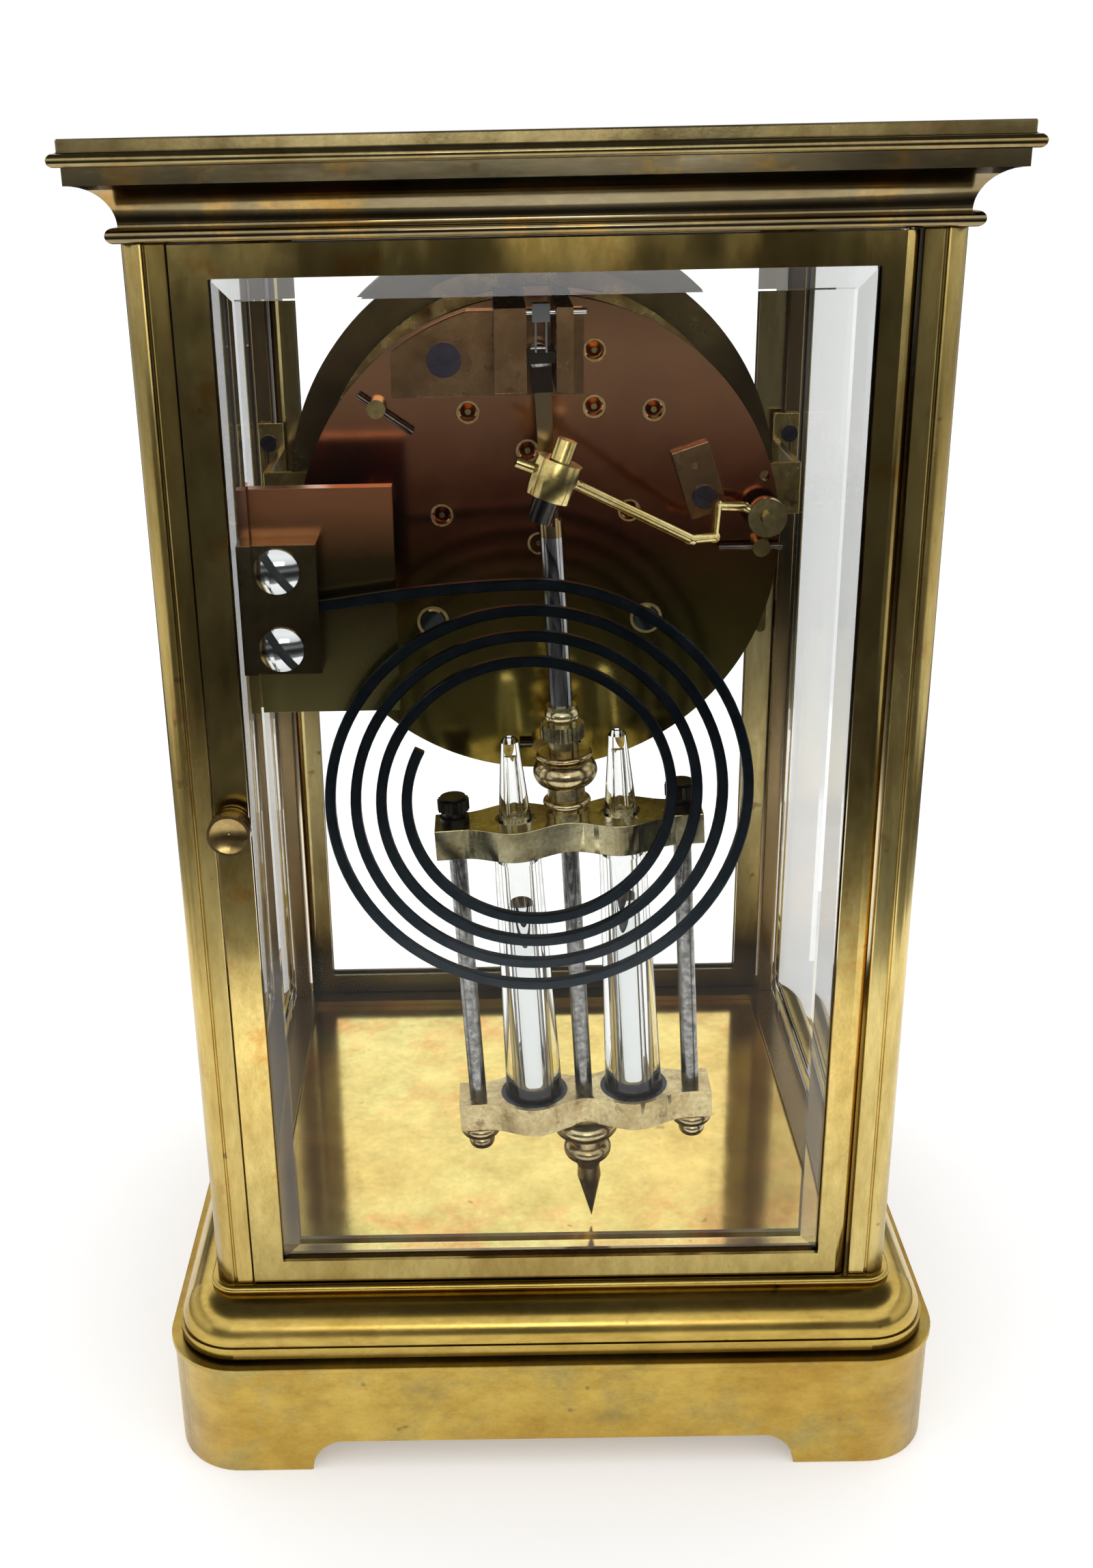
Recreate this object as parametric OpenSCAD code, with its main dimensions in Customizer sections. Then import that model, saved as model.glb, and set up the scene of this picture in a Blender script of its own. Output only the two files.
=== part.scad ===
// Crystal regulator clock: a brass case with four bevelled glasses, a striking movement with a
// coiled gong, and a pendulum with two mercury vials. The dial faces -Y, the rear door faces +Y.

/* [Case] */
// Width across the corner pillars
body_w = 132.3; // [120:0.1:160]
// Depth over the two doors
body_d = 122; // [116:0.1:150]
// Height of the plinth with its feet
plinth_h = 25.65; // [18:0.1:40]
// Height of the moulding between plinth and pillars
base_h = 12.45; // [11:0.1:20]
// Height of the pillars
pillar_h = 196.3; // [190:0.1:240]
// Height of the cornice moulding
cornice_h = 11.3; // [10:0.1:18]
// Thickness of the top plate
top_t = 4; // [3:0.1:8]
// Overhang of the plinth past the pillars
plinth_over = 9.8; // [5:0.1:12]
// Overhang of the base moulding past the pillars
base_over = 8.2; // [3:0.1:10]
// Overhang of the collar at the foot of the pillars
collar_over = 1.5; // [0.3:0.1:2]
// Overhang of the bead under the cornice
bead_over = 1.4; // [0.6:0.1:3]
// Overhang of the cornice's upper fillet
fillet_over = 5.9; // [4:0.1:10]
// Overhang of the lip of the top plate
lip_over = 7.7; // [5:0.1:12]
// Step of the top plate in from its lip
top_step = 1.4; // [0.5:0.1:3]
// Wall of the base moulding under the pillars
base_wall = 9.5; // [8:0.1:14]
// Wall of the plinth
plinth_wall = 3; // [2:0.1:6]
// Height of the cut-out between the feet
foot_h = 7; // [4:0.1:10]
// Length of a foot along the front
foot_l = 27.9; // [18:0.1:34]
// Thickness of the floor plate
floor_t = 2; // [1:0.1:4]
// Drop of the floor below the foot of the pillars
floor_drop = 1.4; // [0.8:0.1:3]

/* [Doors and glass] */
// Width of a corner pillar
pillar_w = 7.45; // [6:0.05:12]
// Radius of a pillar's outer edge
column_r = 3.8; // [2:0.1:5]
// Thickness of a door frame
door_t = 4.8; // [4:0.1:7]
// Width of a door's upright stile
stile_w = 5.9; // [5:0.1:10]
// Height of a door's bottom rail
rail_bottom = 4.8; // [4:0.1:10]
// Height of a door's top rail
rail_top = 5.2; // [4:0.1:10]
// Clearance around a door
door_gap = 0.3; // [0.2:0.05:0.6]
// Thickness of the door glass
glass_t = 3.2; // [2.5:0.1:3.4]
// How far the glass sits behind the frame's edge
rebate = 1.6; // [1:0.1:2.5]
// Width of the bevel on the glass
bevel_w = 5; // [3:0.1:12]
// Depth of the bevel on the glass
bevel_d = 0.4; // [0.3:0.05:2]
// Thickness of the side glasses
side_glass_t = 2.6; // [2:0.1:3]
// Radius of the door pivot pins
hinge_pin_r = 1; // [0.7:0.05:1.5]
// Length of a door pivot pin in its rail
hinge_pin_l = 3; // [2:0.1:3.6]
// Height of the latch above the pillar's foot
latch_h = 98.6; // [60:0.1:140]
// Radius of the latch knob
knob_r = 3.8; // [2.8:0.1:4.4]
// Length of the latch tongue
tongue_l = 6; // [5:0.1:7]

/* [Movement] */
// Radius of the movement plates
plate_r = 45.4; // [45:0.1:48]
// Thickness of the movement plates
plate_t = 2.5; // [2:0.1:4]
// Gap between the plates
plate_gap = 34; // [33.5:0.1:40]
// Height of the centre arbor above the foot of the pillars
mov_h = 138.5; // [130:0.1:150]
// Distance of the back plate in from the rear face of the case
plate_in = 40; // [39:0.1:42]
// Running clearance of a pivot in its hole
run = 0.05; // [0.03:0.01:0.08]
// Gap between the dial pan's rim and the pillars
pan_in = 6.7; // [5:0.1:8]
// Step of the enamel dial in from the pan's rim
dial_in = 3; // [2.2:0.1:5]
// Distance of the dial pan before the front plate
pan_gap = 8; // [7.6:0.1:10]
// Radius of the barrel arbors' rear pivots
barrel_pivot_r = 2.3; // [1.8:0.1:2.8]

/* [Pendulum] */
// Distance of the pendulum in from the rear face of the case
pend_in = 21; // [20:0.1:22]
// Lean of the pendulum as it is stored, in degrees
swing = 3.08; // [0:0.01:4]
// Radius of the pendulum rod
rod_r = 2.1; // [1.6:0.1:2.4]
// Gap under the finial when the pendulum hangs straight
tip_gap = 1; // [0.8:0.1:6]
// Length of the finial
finial_l = 25.2; // [20:0.1:26]
// Distance from the top of the rating nut to the upper bar
vase_l = 22; // [18:0.1:24]
// Distance between the two bars
bar_span = 53.9; // [50:0.1:58]
// Height of the bars
bar_t = 6; // [4:0.1:7]
// Distance of a side rod from the middle
side_rod_x = 21.4; // [20:0.1:24]
// Radius of the bob's rods
bob_rod_r = 1.7; // [1:0.1:2]
// Distance of a vial from the middle
vial_x = 10; // [9.4:0.1:10.6]
// Radius of a vial at its foot
vial_r = 5.7; // [5:0.1:6.6]
// Radius of a vial's neck in the upper bar
neck_r = 3.2; // [2.6:0.1:4]
// Wall of a vial at its foot
vial_wall = 3.2; // [2.6:0.1:3.6]
// Depth of the mercury
mercury_h = 43.5; // [20:0.5:48]

/* [Gong and hammer] */
// Distance of the gong in from the rear face of the case
gong_in = 9.5; // [9:0.1:10.5]
// Radius at which the gong's spiral begins
gong_r = 40; // [36:0.1:42]
// Step of the spiral from turn to turn
gong_pitch = 4.6; // [4:0.1:5.5]
// Number of turns of the gong
gong_turns = 3.83; // [3:0.01:4]
// Radius of the gong's wire
wire_r = 1.15; // [0.8:0.05:1.4]
// Height of the gong's middle below the centre arbor
gong_drop = 39.8; // [38:0.1:41]
// Sideways place of the gong's middle
gong_x = 2.4; // [1:0.1:4]
// Radius of the hammer's rod
hammer_wire_r = 0.9; // [0.6:0.05:1.2]
// Radius of the hammer's collet
collet_r = 3.6; // [2.5:0.1:3.9]

/* [Train] */
// Teeth of the two great wheels
great_teeth = 84; // [72:1:96]
// Leaves of the pinions that the great wheels drive
great_leaves = 12; // [10:1:14]
// Teeth of the centre wheel
centre_teeth = 96; // [80:1:108]
// Teeth of the third wheel
third_teeth = 98; // [80:1:108]
// Leaves of the third and escape pinions
fine_leaves = 8; // [8:1:10]
// Teeth of the escape wheel
escape_teeth = 36; // [30:1:40]
// Radius of the escape wheel
escape_r = 9.5; // [8:0.1:9.8]
// Radius of the barrels' drums
drum_r = 16.9; // [14:0.1:17.2]

/* [Hidden] */
$fn = 48;
eps = 0.01;
TURN = 360;

// Heights of the case, from the surface that it stands on
foot_z = plinth_h + base_h;
floor_z = foot_z - floor_drop;
head_z = foot_z + pillar_h;
deck_z = head_z + cornice_h;
mov_z = foot_z + mov_h;

// Plan of the case
half_w = body_w / 2;
half_d = body_d / 2;
pillar_in = half_w - pillar_w;
pillar_back = half_d - pillar_w;
plinth_r = column_r + plinth_over;
plinth_w = body_w + 2 * plinth_over;
plinth_d = body_d + 2 * plinth_over;
seam_h = 0.8;
seam_in = 1.6;
lip_h = 2.4;
collar_h = 1.9;
flange_t = 2.6;
flange_w = 16;
ledge_w = 4;
ledge_t = 3;

// Doors, in the rear door's own plan: outer face at half_d
door_half = pillar_in - door_gap;
door_low = foot_z + door_gap;
door_high = head_z - door_gap;
open_half = door_half - stile_w;
open_low = door_low + rail_bottom;
open_high = door_high - rail_top;
glass_gap = 0.1;
glass_half = open_half + rebate - glass_gap;
glass_low = open_low - rebate + glass_gap;
glass_high = open_high + rebate - glass_gap;
glass_face = half_d - (door_t - glass_t) / 2;
hinge_x = -(door_half - door_t / 2);
hinge_y = half_d - door_t / 2;
pin_seat = 2.5;
latch_x = door_half - stile_w / 2;
latch_z = foot_z + latch_h;
latch_shaft_r = 1.1;
tongue_w = 2.4;
tongue_t = 1.2;
tongue_room = 0.4;
tongue_y = half_d - door_t - door_gap;
knob_l = 4.8;
groove = 0.5;
side_glass_x = half_w - side_glass_t / 2 - 1.15;
side_seat = 1.2;

// Depths of the movement: t counts forward from the back plate's inner face
plate_y = half_d - plate_in;
pend_y = half_d - pend_in;
gong_y = half_d - gong_in;
in_y = plate_y - plate_t;
front_y = in_y - plate_gap;
face_y = front_y - plate_t;
pan_y = face_y - pan_gap;
pan_r = pillar_in - pan_in;
dial_r = pan_r - dial_in;
pan_t = 1.2;
rim_l = 6;
rim_t = 2;
dial_t = 1.5;
dial_y = pan_y - pan_t;
dial_face = dial_y - dial_t;

// Places of the arbors and pillars, sideways and up from the centre arbor; a pillar's third number is
// the slope of its taper pin
p_going = [20.5, -15];
p_strike = [-20.5, -15];
p_inter = [18.2, 5.7];
p_centre = [0, 0];
p_third = [2, 17.5];
p_escape = [12.9, 24.8];
p_pallet = [0, 35.8];
p_second = [-17, 6];
p_pin = [-28.9, 14.6];
p_lock = [-21.3, 24.6];
p_warn = [-10.3, 25.4];
p_fly = [-10.3, 35.5];
p_hammer = [-42, 5.4];
p_minute = [0, -12];
p_spare = [-42.2, 12];
spare_r = 1;
PILLARS = [[29.6, 26.1, 35], [-41.7, -1, 180], [41.2, -6, 120], [0, -40, 0]];
tail = 3;
taper_r = 0.65;
taper_l = 12;

// Tooth counts of the smaller wheels
inter_teeth = 72;
second_teeth = 70;
second_leaves = 10;
pin_teeth = 70;
pin_leaves = 8;
lock_teeth = 63;
lock_leaves = 7;
warn_teeth = 56;
warn_leaves = 7;
cannon_teeth = 20;
minute_teeth = 60;
minute_leaves = 15;
hour_teeth = 60;

// Layers of the wheels, and how far a pinion stands past its wheel
t_great = 3;
t_inter = 26;
t_centre = 30;
t_third = 20;
t_escape = 12;
t_pin = 22;
t_lock = 16;
t_warn = 8;
wheel_t = 1.1;
great_t = 2.5;
leaf_over = 0.8;
drum_t = 18;
arbor_r = 0.9;
fine_r = 0.6;
pivot_r = 0.55;
shoulder = 0.3;
sink_r = 1.7;

// Front of the movement
cannon_r = 1.8;
pipe_r = 2.6;
cannon_y = face_y - 1;
hour_y = face_y - 5;
motion_t = 1.4;
stud_r = 0.8;
hour_hand_y = dial_face - 1.8;
minute_hand_y = hour_hand_y - 1.9;
hand_t = 0.7;
hour_hand_l = 25;
minute_hand_l = 38;
dial_hole_r = 3.4;
key_hole_r = 3.6;
square_a = 4;
square_out = 1.3;
barrel_r = 3;
ratchet_r = 6;

// Back cock and suspension
pivot_z = mov_z + p_pallet[1];
cock_t = 3;
cock_left = 26.7;
cock_right = -8.2;
cock_low = 28;
cock_high = 43;
cheek_in = 2.5;
cheek_left = 8;
cheek_right = 5.4;
cheek_low = pivot_z - 4.6;
cheek_high = pivot_z + 9.6;
cheek_y = pend_y + 3;
cross_r = 0.6;
cross_z = pivot_z + 8.5;
strip_w = 2.2;
strip_t = 0.3;
strip_x = 0.9;
slider_h = 1.8;
bend_gap = 0.3;

// Gong plate, block and hammer
gong_z = mov_z - gong_drop;
block_in = 38.8;
block_out = 52;
block_low = mov_z - 14.4;
block_high = mov_z + 8.4;
block_back = gong_y + 2.5;
block_t = 6.4;
gong_plate_t = 3;
gong_plate_in = 25.9;
gong_plate_drop = 23.6;
gong_plate_rise = 16.7;
gong_plate_low = mov_z - gong_plate_drop;
gong_plate_high = mov_z + gong_plate_rise;
gong_plate_y = block_back - block_t;
gong_post_r = 3;
gong_post_x = 31;
gong_posts = [-12, 6];
gong_screw_x = 45.6;
gong_screw_r = 3.9;
gong_screw_z = 6.9;
hammer_y = plate_y + 5;
head_y = gong_y - 1.5;
head_x = -1.8;
head_rise = 18.3;

// Bob, along the pendulum from the bend of the spring
bar_s = pivot_z - floor_z - tip_gap - finial_l - 2 * bar_t - bar_span;
rod_l = bar_s - vase_l;
bar_low_s = bar_s + bar_t + bar_span;
vial_top_s = bar_s - 16.6;
bar_lip = 1.5;
vial_top_r = vial_r - 1.3;
vial_floor = 2;
bore_r = vial_r - vial_wall;
nut_l = 6.4;
vase_s = rod_l + nut_l + 0.3;

BRASS = [0.72, 0.56, 0.25];
DARK_BRASS = [0.5, 0.37, 0.18];
STEEL = [0.7, 0.71, 0.72];
BLUED = [0.12, 0.13, 0.18];
CLEAR = [0.8, 0.9, 0.9, 0.35];

// An extrusion of a drawing in X and Z, from y0 to y1
module along_y(y0, y1) {
    translate([0, y1, 0]) rotate([90, 0, 0]) linear_extrude(height = y1 - y0) children();
}

// A turned piece whose axis is +Y, drawn as radius and distance along Y
module turned_y(y0) {
    translate([0, y0, 0]) rotate([-90, 0, 0]) rotate_extrude() children();
}

// A place on the movement
module at(p) {
    translate([p[0], 0, mov_z + p[1]]) children();
}

// A straight round rod that runs a little past both of its ends
module rod_between(a, b, r) {
    d = b - a;
    l = norm(d);
    past = r * 0.8;
    translate(a) rotate([0, acos(d[2] / l), atan2(d[1], d[0])]) translate([0, 0, -past])
        cylinder(h = l + 2 * past, r = r);
}

// A moulding round a rectangle with round corners, from a profile drawn outward from the side
module moulded(w, d, r) {
    for (s = [-1, 1]) {
        translate([0, s * (d / 2 - r), 0]) rotate([90, 0, s * 90]) translate([0, 0, r - w / 2])
            linear_extrude(height = w - 2 * r) children();
        translate([s * (w / 2 - r), 0, 0]) rotate([90, 0, s * 90 - 90]) translate([0, 0, r - d / 2])
            linear_extrude(height = d - 2 * r) children();
        for (q = [-1, 1]) translate([s * (w / 2 - r), q * (d / 2 - r), 0])
            rotate([0, 0, s > 0 ? (q > 0 ? 0 : -90) : (q > 0 ? 90 : 180)])
                rotate_extrude(angle = 90) children();
    }
}

// A slab whose four edges are moulded and mitred, from half of its section each way
module mitred() {
    intersection() {
        along_y(-body_d, body_d) for (s = [0, 1]) mirror([s, 0]) children(0);
        rotate([0, 0, 90]) along_y(-body_w, body_w) for (s = [0, 1]) mirror([s, 0]) children(1);
    }
}

module frame_box(half_x, half_y, wall_x, wall_y, z0, z1) {
    difference() {
        translate([-half_x, -half_y, z0]) cube([2 * half_x, 2 * half_y, z1 - z0]);
        translate([wall_x - half_x, wall_y - half_y, z0 - 1])
            cube([2 * (half_x - wall_x), 2 * (half_y - wall_y), z1 - z0 + 2]);
    }
}

// Case

module plinth_section() {
    edge_h = 1.4;
    edge_over = 0.5;
    translate([plinth_r - plinth_wall, 0]) square([plinth_wall, plinth_h]);
    translate([plinth_r - edge_over, plinth_h - edge_h]) square([2 * edge_over, edge_h]);
    translate([0, plinth_h - flange_t]) square([plinth_r, flange_t]);
}

// The cut-out between two feet has hollow ends that meet its top at a cusp
module foot_gap(side) {
    hollow_r = foot_h + 0.25;
    middle = side / 2 - foot_l - hollow_r;
    flat = middle + sqrt(hollow_r * hollow_r - foot_h * foot_h);
    translate([-flat, -1]) square([2 * flat, foot_h + 1]);
    intersection() {
        translate([-side / 2, -foot_h]) square([side, 2 * foot_h]);
        for (s = [-1, 1]) translate([s * middle, 0]) circle(r = hollow_r);
    }
}

module plinth() {
    color(BRASS) difference() {
        union() {
            moulded(plinth_w, plinth_d, plinth_r) plinth_section();
            frame_box(plinth_w / 2 - plinth_r + eps, plinth_d / 2 - plinth_r + eps, flange_w - plinth_r,
                flange_w - plinth_r, plinth_h - flange_t, plinth_h);
        }
        along_y(-plinth_d, plinth_d) foot_gap(plinth_w);
        rotate([0, 0, 90]) along_y(-plinth_w, plinth_w) foot_gap(plinth_d);
    }
}

module base_section() {
    rise = base_h - seam_h - lip_h - collar_h;
    lip_z = plinth_h + seam_h;
    swell_x = column_r + base_over - 0.5 - rise;
    translate([0, plinth_h]) square([column_r - seam_in, base_h]);
    translate([0, lip_z]) square([column_r + base_over, lip_h]);
    intersection() {
        translate([0, lip_z + lip_h]) square([column_r + base_over, rise]);
        union() {
            translate([swell_x, lip_z + lip_h]) circle(r = rise);
            translate([swell_x - rise, lip_z + lip_h]) square([rise, rise]);
        }
    }
    translate([0, foot_z - collar_h]) square([column_r + collar_over - collar_h / 2, collar_h]);
    translate([column_r + collar_over - collar_h / 2, foot_z - collar_h / 2]) circle(d = collar_h);
}

module base_moulding() {
    color(BRASS) difference() {
        union() {
            moulded(body_w, body_d, column_r) base_section();
            frame_box(half_w - column_r + eps, half_d - column_r + eps, base_wall - column_r,
                base_wall - column_r, plinth_h, foot_z);
            frame_box(half_w - base_wall, half_d - base_wall, ledge_w, ledge_w,
                floor_z - floor_t - ledge_t, floor_z - floor_t);
        }
        for (a = [0, 180]) rotate([0, 0, a]) translate([hinge_x, hinge_y, foot_z - pin_seat])
            cylinder(h = pin_seat + 1, r = hinge_pin_r);
    }
}

module floor_plate() {
    fit = 0.1;
    edge = base_wall + fit;
    color([0.85, 0.68, 0.3]) translate([edge - half_w, edge - half_d, floor_z - floor_t])
        cube([body_w - 2 * edge, body_d - 2 * edge, floor_t]);
}

module pillar_section() {
    difference() {
        union() {
            square([pillar_w - column_r, pillar_w]);
            square([pillar_w, pillar_w - column_r]);
            intersection() {
                square(pillar_w);
                translate([pillar_w - column_r, pillar_w - column_r]) circle(r = column_r);
            }
        }
        translate([pillar_w - column_r - groove, pillar_w - groove]) square([groove, groove + 1]);
        translate([pillar_w - groove, pillar_w - column_r - groove]) square([groove + 1, groove]);
        translate([side_glass_x - pillar_in - side_glass_t / 2 - glass_gap, -1])
            square([side_glass_t + 2 * glass_gap, side_seat + 1 + glass_gap]);
    }
}

module pillars() {
    keep = tongue_l - (pillar_in - latch_x) + tongue_room;
    color(BRASS) for (sx = [0, 1], sy = [0, 1]) mirror([sx, 0, 0]) mirror([0, sy, 0]) difference() {
        translate([pillar_in, pillar_back, foot_z]) linear_extrude(height = pillar_h) pillar_section();
        if (sx == sy) translate([pillar_in - 1, tongue_y - tongue_t - tongue_room,
            latch_z - tongue_w / 2 - tongue_room])
            cube([keep + 1, tongue_t + 2 * tongue_room, tongue_l + tongue_w / 2 + 2 * tongue_room]);
    }
}

module cornice_section(half) {
    bead_h = 2.4;
    fillet_h = 2.6;
    cove_h = cornice_h - bead_h - fillet_h;
    translate([0, head_z]) square([half + bead_over - bead_h / 2, bead_h]);
    translate([half + bead_over - bead_h / 2, head_z + bead_h / 2]) circle(d = bead_h);
    difference() {
        translate([0, head_z + bead_h]) square([half + fillet_over, cove_h + fillet_h]);
        translate([half + fillet_over, head_z + bead_h]) circle(r = cove_h);
    }
}

module cornice() {
    rim = 7;
    color(BRASS) difference() {
        mitred() {
            cornice_section(half_w);
            cornice_section(half_d);
        }
        translate([rim - pillar_in, rim - pillar_back, head_z - 1])
            cube([2 * (pillar_in - rim), 2 * (pillar_back - rim), cornice_h + 2]);
        for (a = [0, 180]) rotate([0, 0, a]) translate([hinge_x, hinge_y, head_z - 1])
            cylinder(h = pin_seat + 1, r = hinge_pin_r);
    }
}

module top_section(half) {
    lip_t = 2;
    translate([0, deck_z]) square([half + lip_over - lip_t / 2, lip_t]);
    translate([half + lip_over - lip_t / 2, deck_z + lip_t / 2]) circle(d = lip_t);
    translate([0, deck_z]) square([half + lip_over - top_step, top_t]);
}

module top_plate() {
    color(BRASS) mitred() {
        top_section(half_w);
        top_section(half_d);
    }
}

module side_glasses() {
    reach = pillar_back + side_seat;
    color(CLEAR) for (s = [0, 1]) mirror([s, 0, 0])
        translate([side_glass_x - side_glass_t / 2, 0, (foot_z + head_z) / 2]) rotate([90, 0, 90])
            bevelled_glass(reach, pillar_h / 2 - glass_gap, side_glass_t);
}

// A pane lying in X and Y with its outer face up, bevelled all round
module bevelled_glass(half_x, half_y, t) {
    module pane(half) {
        polygon([[-half, 0], [half, 0], [half, t - bevel_d], [half - bevel_w, t],
            [bevel_w - half, t], [-half, t - bevel_d]]);
    }
    intersection() {
        rotate([90, 0, 0]) translate([0, 0, -half_y]) linear_extrude(height = 2 * half_y) pane(half_x);
        rotate([90, 0, 90]) translate([0, 0, -half_x]) linear_extrude(height = 2 * half_x) pane(half_y);
    }
}

module hinge_pins() {
    color(STEEL) for (a = [0, 180]) rotate([0, 0, a]) {
        translate([hinge_x, hinge_y, foot_z - pin_seat])
            cylinder(h = pin_seat + hinge_pin_l, r = hinge_pin_r);
        translate([hinge_x, hinge_y, head_z - hinge_pin_l])
            cylinder(h = pin_seat + hinge_pin_l, r = hinge_pin_r);
    }
}

// Doors, drawn as the rear door

module rear_frame() {
    difference() {
        union() {
            translate([hinge_x, half_d - door_t, door_low])
                cube([door_half - hinge_x, door_t, door_high - door_low]);
            translate([hinge_x, hinge_y, door_low]) cylinder(h = door_high - door_low, d = door_t);
        }
        translate([-open_half, half_d - door_t - 1, open_low])
            cube([2 * open_half, door_t + 2, open_high - open_low]);
        translate([-open_half - rebate, glass_face - glass_t, open_low - rebate])
            cube([2 * (open_half + rebate), glass_t, open_high - open_low + 2 * rebate]);
        for (z = [door_low - 1, door_high - hinge_pin_l])
            translate([hinge_x, hinge_y, z]) cylinder(h = hinge_pin_l + 1, r = hinge_pin_r + run);
        translate([latch_x, 0, latch_z]) along_y(half_d - door_t - 1, half_d + 1)
            circle(r = latch_shaft_r + run);
    }
}

module rear_pane() {
    translate([0, glass_face - glass_t, (glass_low + glass_high) / 2]) rotate([90, 0, 180])
        bevelled_glass(glass_half, (glass_high - glass_low) / 2, glass_t);
}

module latch() {
    neck = knob_r - 1.8;
    ring = knob_r - 0.4;
    ring_t = 0.7;
    disc_t = 1.9;
    rim = 0.5;
    dish = 0.7;
    dish_r = ((knob_r - rim) * (knob_r - rim) + dish * dish) / (2 * dish);
    translate([latch_x, 0, latch_z]) {
        turned_y(half_d + door_gap) {
            square([ring, ring_t]);
            square([ring - 0.3, 2 * ring_t]);
            square([neck, knob_l - disc_t + eps]);
            difference() {
                translate([0, knob_l - disc_t]) square([knob_r, disc_t]);
                translate([0, knob_l - dish + dish_r]) circle(r = dish_r);
            }
        }
        along_y(tongue_y - tongue_t, half_d + door_gap + eps) circle(r = latch_shaft_r);
        along_y(tongue_y - tongue_t, tongue_y) {
            translate([-tongue_w / 2, 0]) square([tongue_w, tongue_l - tongue_w / 2]);
            translate([0, tongue_l - tongue_w / 2]) circle(d = tongue_w);
            circle(d = tongue_w);
        }
    }
}

module rear_door_frame() { color(BRASS) rear_frame(); }
module rear_glass() { color(CLEAR) rear_pane(); }
module rear_latch() { color(BRASS) latch(); }
module front_door_frame() { color(BRASS) rotate([0, 0, 180]) rear_frame(); }
module front_glass() { color(CLEAR) rotate([0, 0, 180]) rear_pane(); }
module front_latch() { color(BRASS) rotate([0, 0, 180]) latch(); }

// Movement brackets, plates and dial

bracket_h = 23;
bracket_w = 5.8;
bracket_t = 1.5;
arm_h = 11;
arm_x = pillar_in - 2.6;
tab_in = pan_r - 6;

module movement_brackets() {
    color(BRASS) for (s = [0, 1]) mirror([s, 0, 0]) translate([0, 0, mov_z]) difference() {
        union() {
            translate([arm_x, -pillar_back, -bracket_h / 2])
                cube([bracket_w, bracket_t, bracket_h]);
            translate([arm_x, -pillar_back, -arm_h / 2])
                cube([bracket_t, pan_y + pillar_back + bracket_t, arm_h]);
            translate([tab_in, pan_y, -arm_h / 2]) cube([arm_x + bracket_t - tab_in, bracket_t, arm_h]);
        }
        for (z = [-7, 7]) translate([arm_x + bracket_w / 2 + 0.6, 0, z])
            along_y(-pillar_back - 1, bracket_t - pillar_back + 1) circle(r = 1);
    }
}

// A countersunk slotted screw head whose face looks along +Y
module slotted_head(r, h) {
    difference() {
        along_y(0, h) circle(r = r);
        along_y(h * 0.4, h + 1) square([3 * r, r * 0.3], center = true);
    }
}

bridge_screw = [-30.8, 8.7];
cock_screw = [17, 34.7];
cock_screw_r = 3.1;

module blued_screws() {
    shank_r = 1;
    color(BLUED) {
        for (s = [-1, 1], z = [-7, 7]) translate([s * (arm_x + bracket_w / 2 + 0.6),
            bracket_t - pillar_back, mov_z + z]) {
            rotate([0, z * 4, 0]) slotted_head(1.9, 1);
            along_y(-bracket_t, eps) circle(r = shank_r);
        }
        at(cock_screw) translate([0, plate_y + cock_t, 0]) rotate([0, 15, 0]) slotted_head(cock_screw_r, 1);
        at(bridge_screw) translate([0, plate_y + 2, 0]) rotate([0, -30, 0]) slotted_head(2.2, 1);
    }
}

module dial_pan() {
    color(DARK_BRASS) translate([0, 0, mov_z]) {
        difference() {
            along_y(pan_y - rim_l, pan_y) circle(r = pan_r);
            along_y(pan_y - rim_l - 1, pan_y - pan_t) circle(r = pan_r - rim_t);
            along_y(pan_y - 2, pan_y + 1) {
                circle(r = dial_hole_r);
                for (p = [p_going, p_strike]) translate(p) circle(r = key_hole_r);
            }
        }
        for (p = FEET) translate([p[0], 0, p[1]]) along_y(pan_y, face_y) circle(r = 1.8);
    }
}

FEET = [[0, 38], [33, -19], [-33, -19]];

module dial() {
    color("white") translate([0, 0, mov_z]) along_y(dial_face, dial_y) difference() {
        circle(r = dial_r);
        circle(r = dial_hole_r);
        for (p = [p_going, p_strike]) translate(p) circle(r = key_hole_r);
    }
}

FINE = [p_inter, p_third, p_escape, p_second, p_lock, p_warn, p_fly];

module pivot_holes() {
    for (p = FINE) translate(p) circle(r = pivot_r + run);
    translate(p_centre) circle(r = pivot_r + run);
}

module back_plate() {
    color([0.55, 0.33, 0.18]) difference() {
        translate([0, 0, mov_z]) along_y(in_y, plate_y) difference() {
            circle(r = plate_r);
            pivot_holes();
            translate(p_pin) circle(r = 2.4);
            translate(p_pallet) circle(r = 2);
            translate(p_hammer) circle(r = 1.2 + run);
            for (p = [p_going, p_strike]) translate(p) circle(r = barrel_pivot_r + run);
            for (p = PILLARS) translate([p[0], p[1]]) circle(r = 1.7);
            translate(p_spare) circle(r = spare_r);
        }
        for (p = FINE) at(p) translate([0, plate_y + eps, 0]) rotate([90, 0, 0])
            cylinder(h = 1, r1 = sink_r, r2 = pivot_r);
    }
}

module front_plate() {
    color(BRASS) translate([0, 0, mov_z]) {
        along_y(face_y, front_y) difference() {
            circle(r = plate_r);
            for (p = FINE) translate(p) circle(r = pivot_r + run);
            for (p = [p_pin, p_pallet]) translate(p) circle(r = pivot_r + run);
            translate(p_hammer) circle(r = pivot_r + run);
            circle(r = 1.2 + run);
            for (p = [p_going, p_strike]) translate(p) circle(r = barrel_r + run);
        }
        translate([p_minute[0], 0, p_minute[1]]) along_y(hour_y - motion_t - 1.2, face_y) circle(r = stud_r);
    }
}

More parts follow.
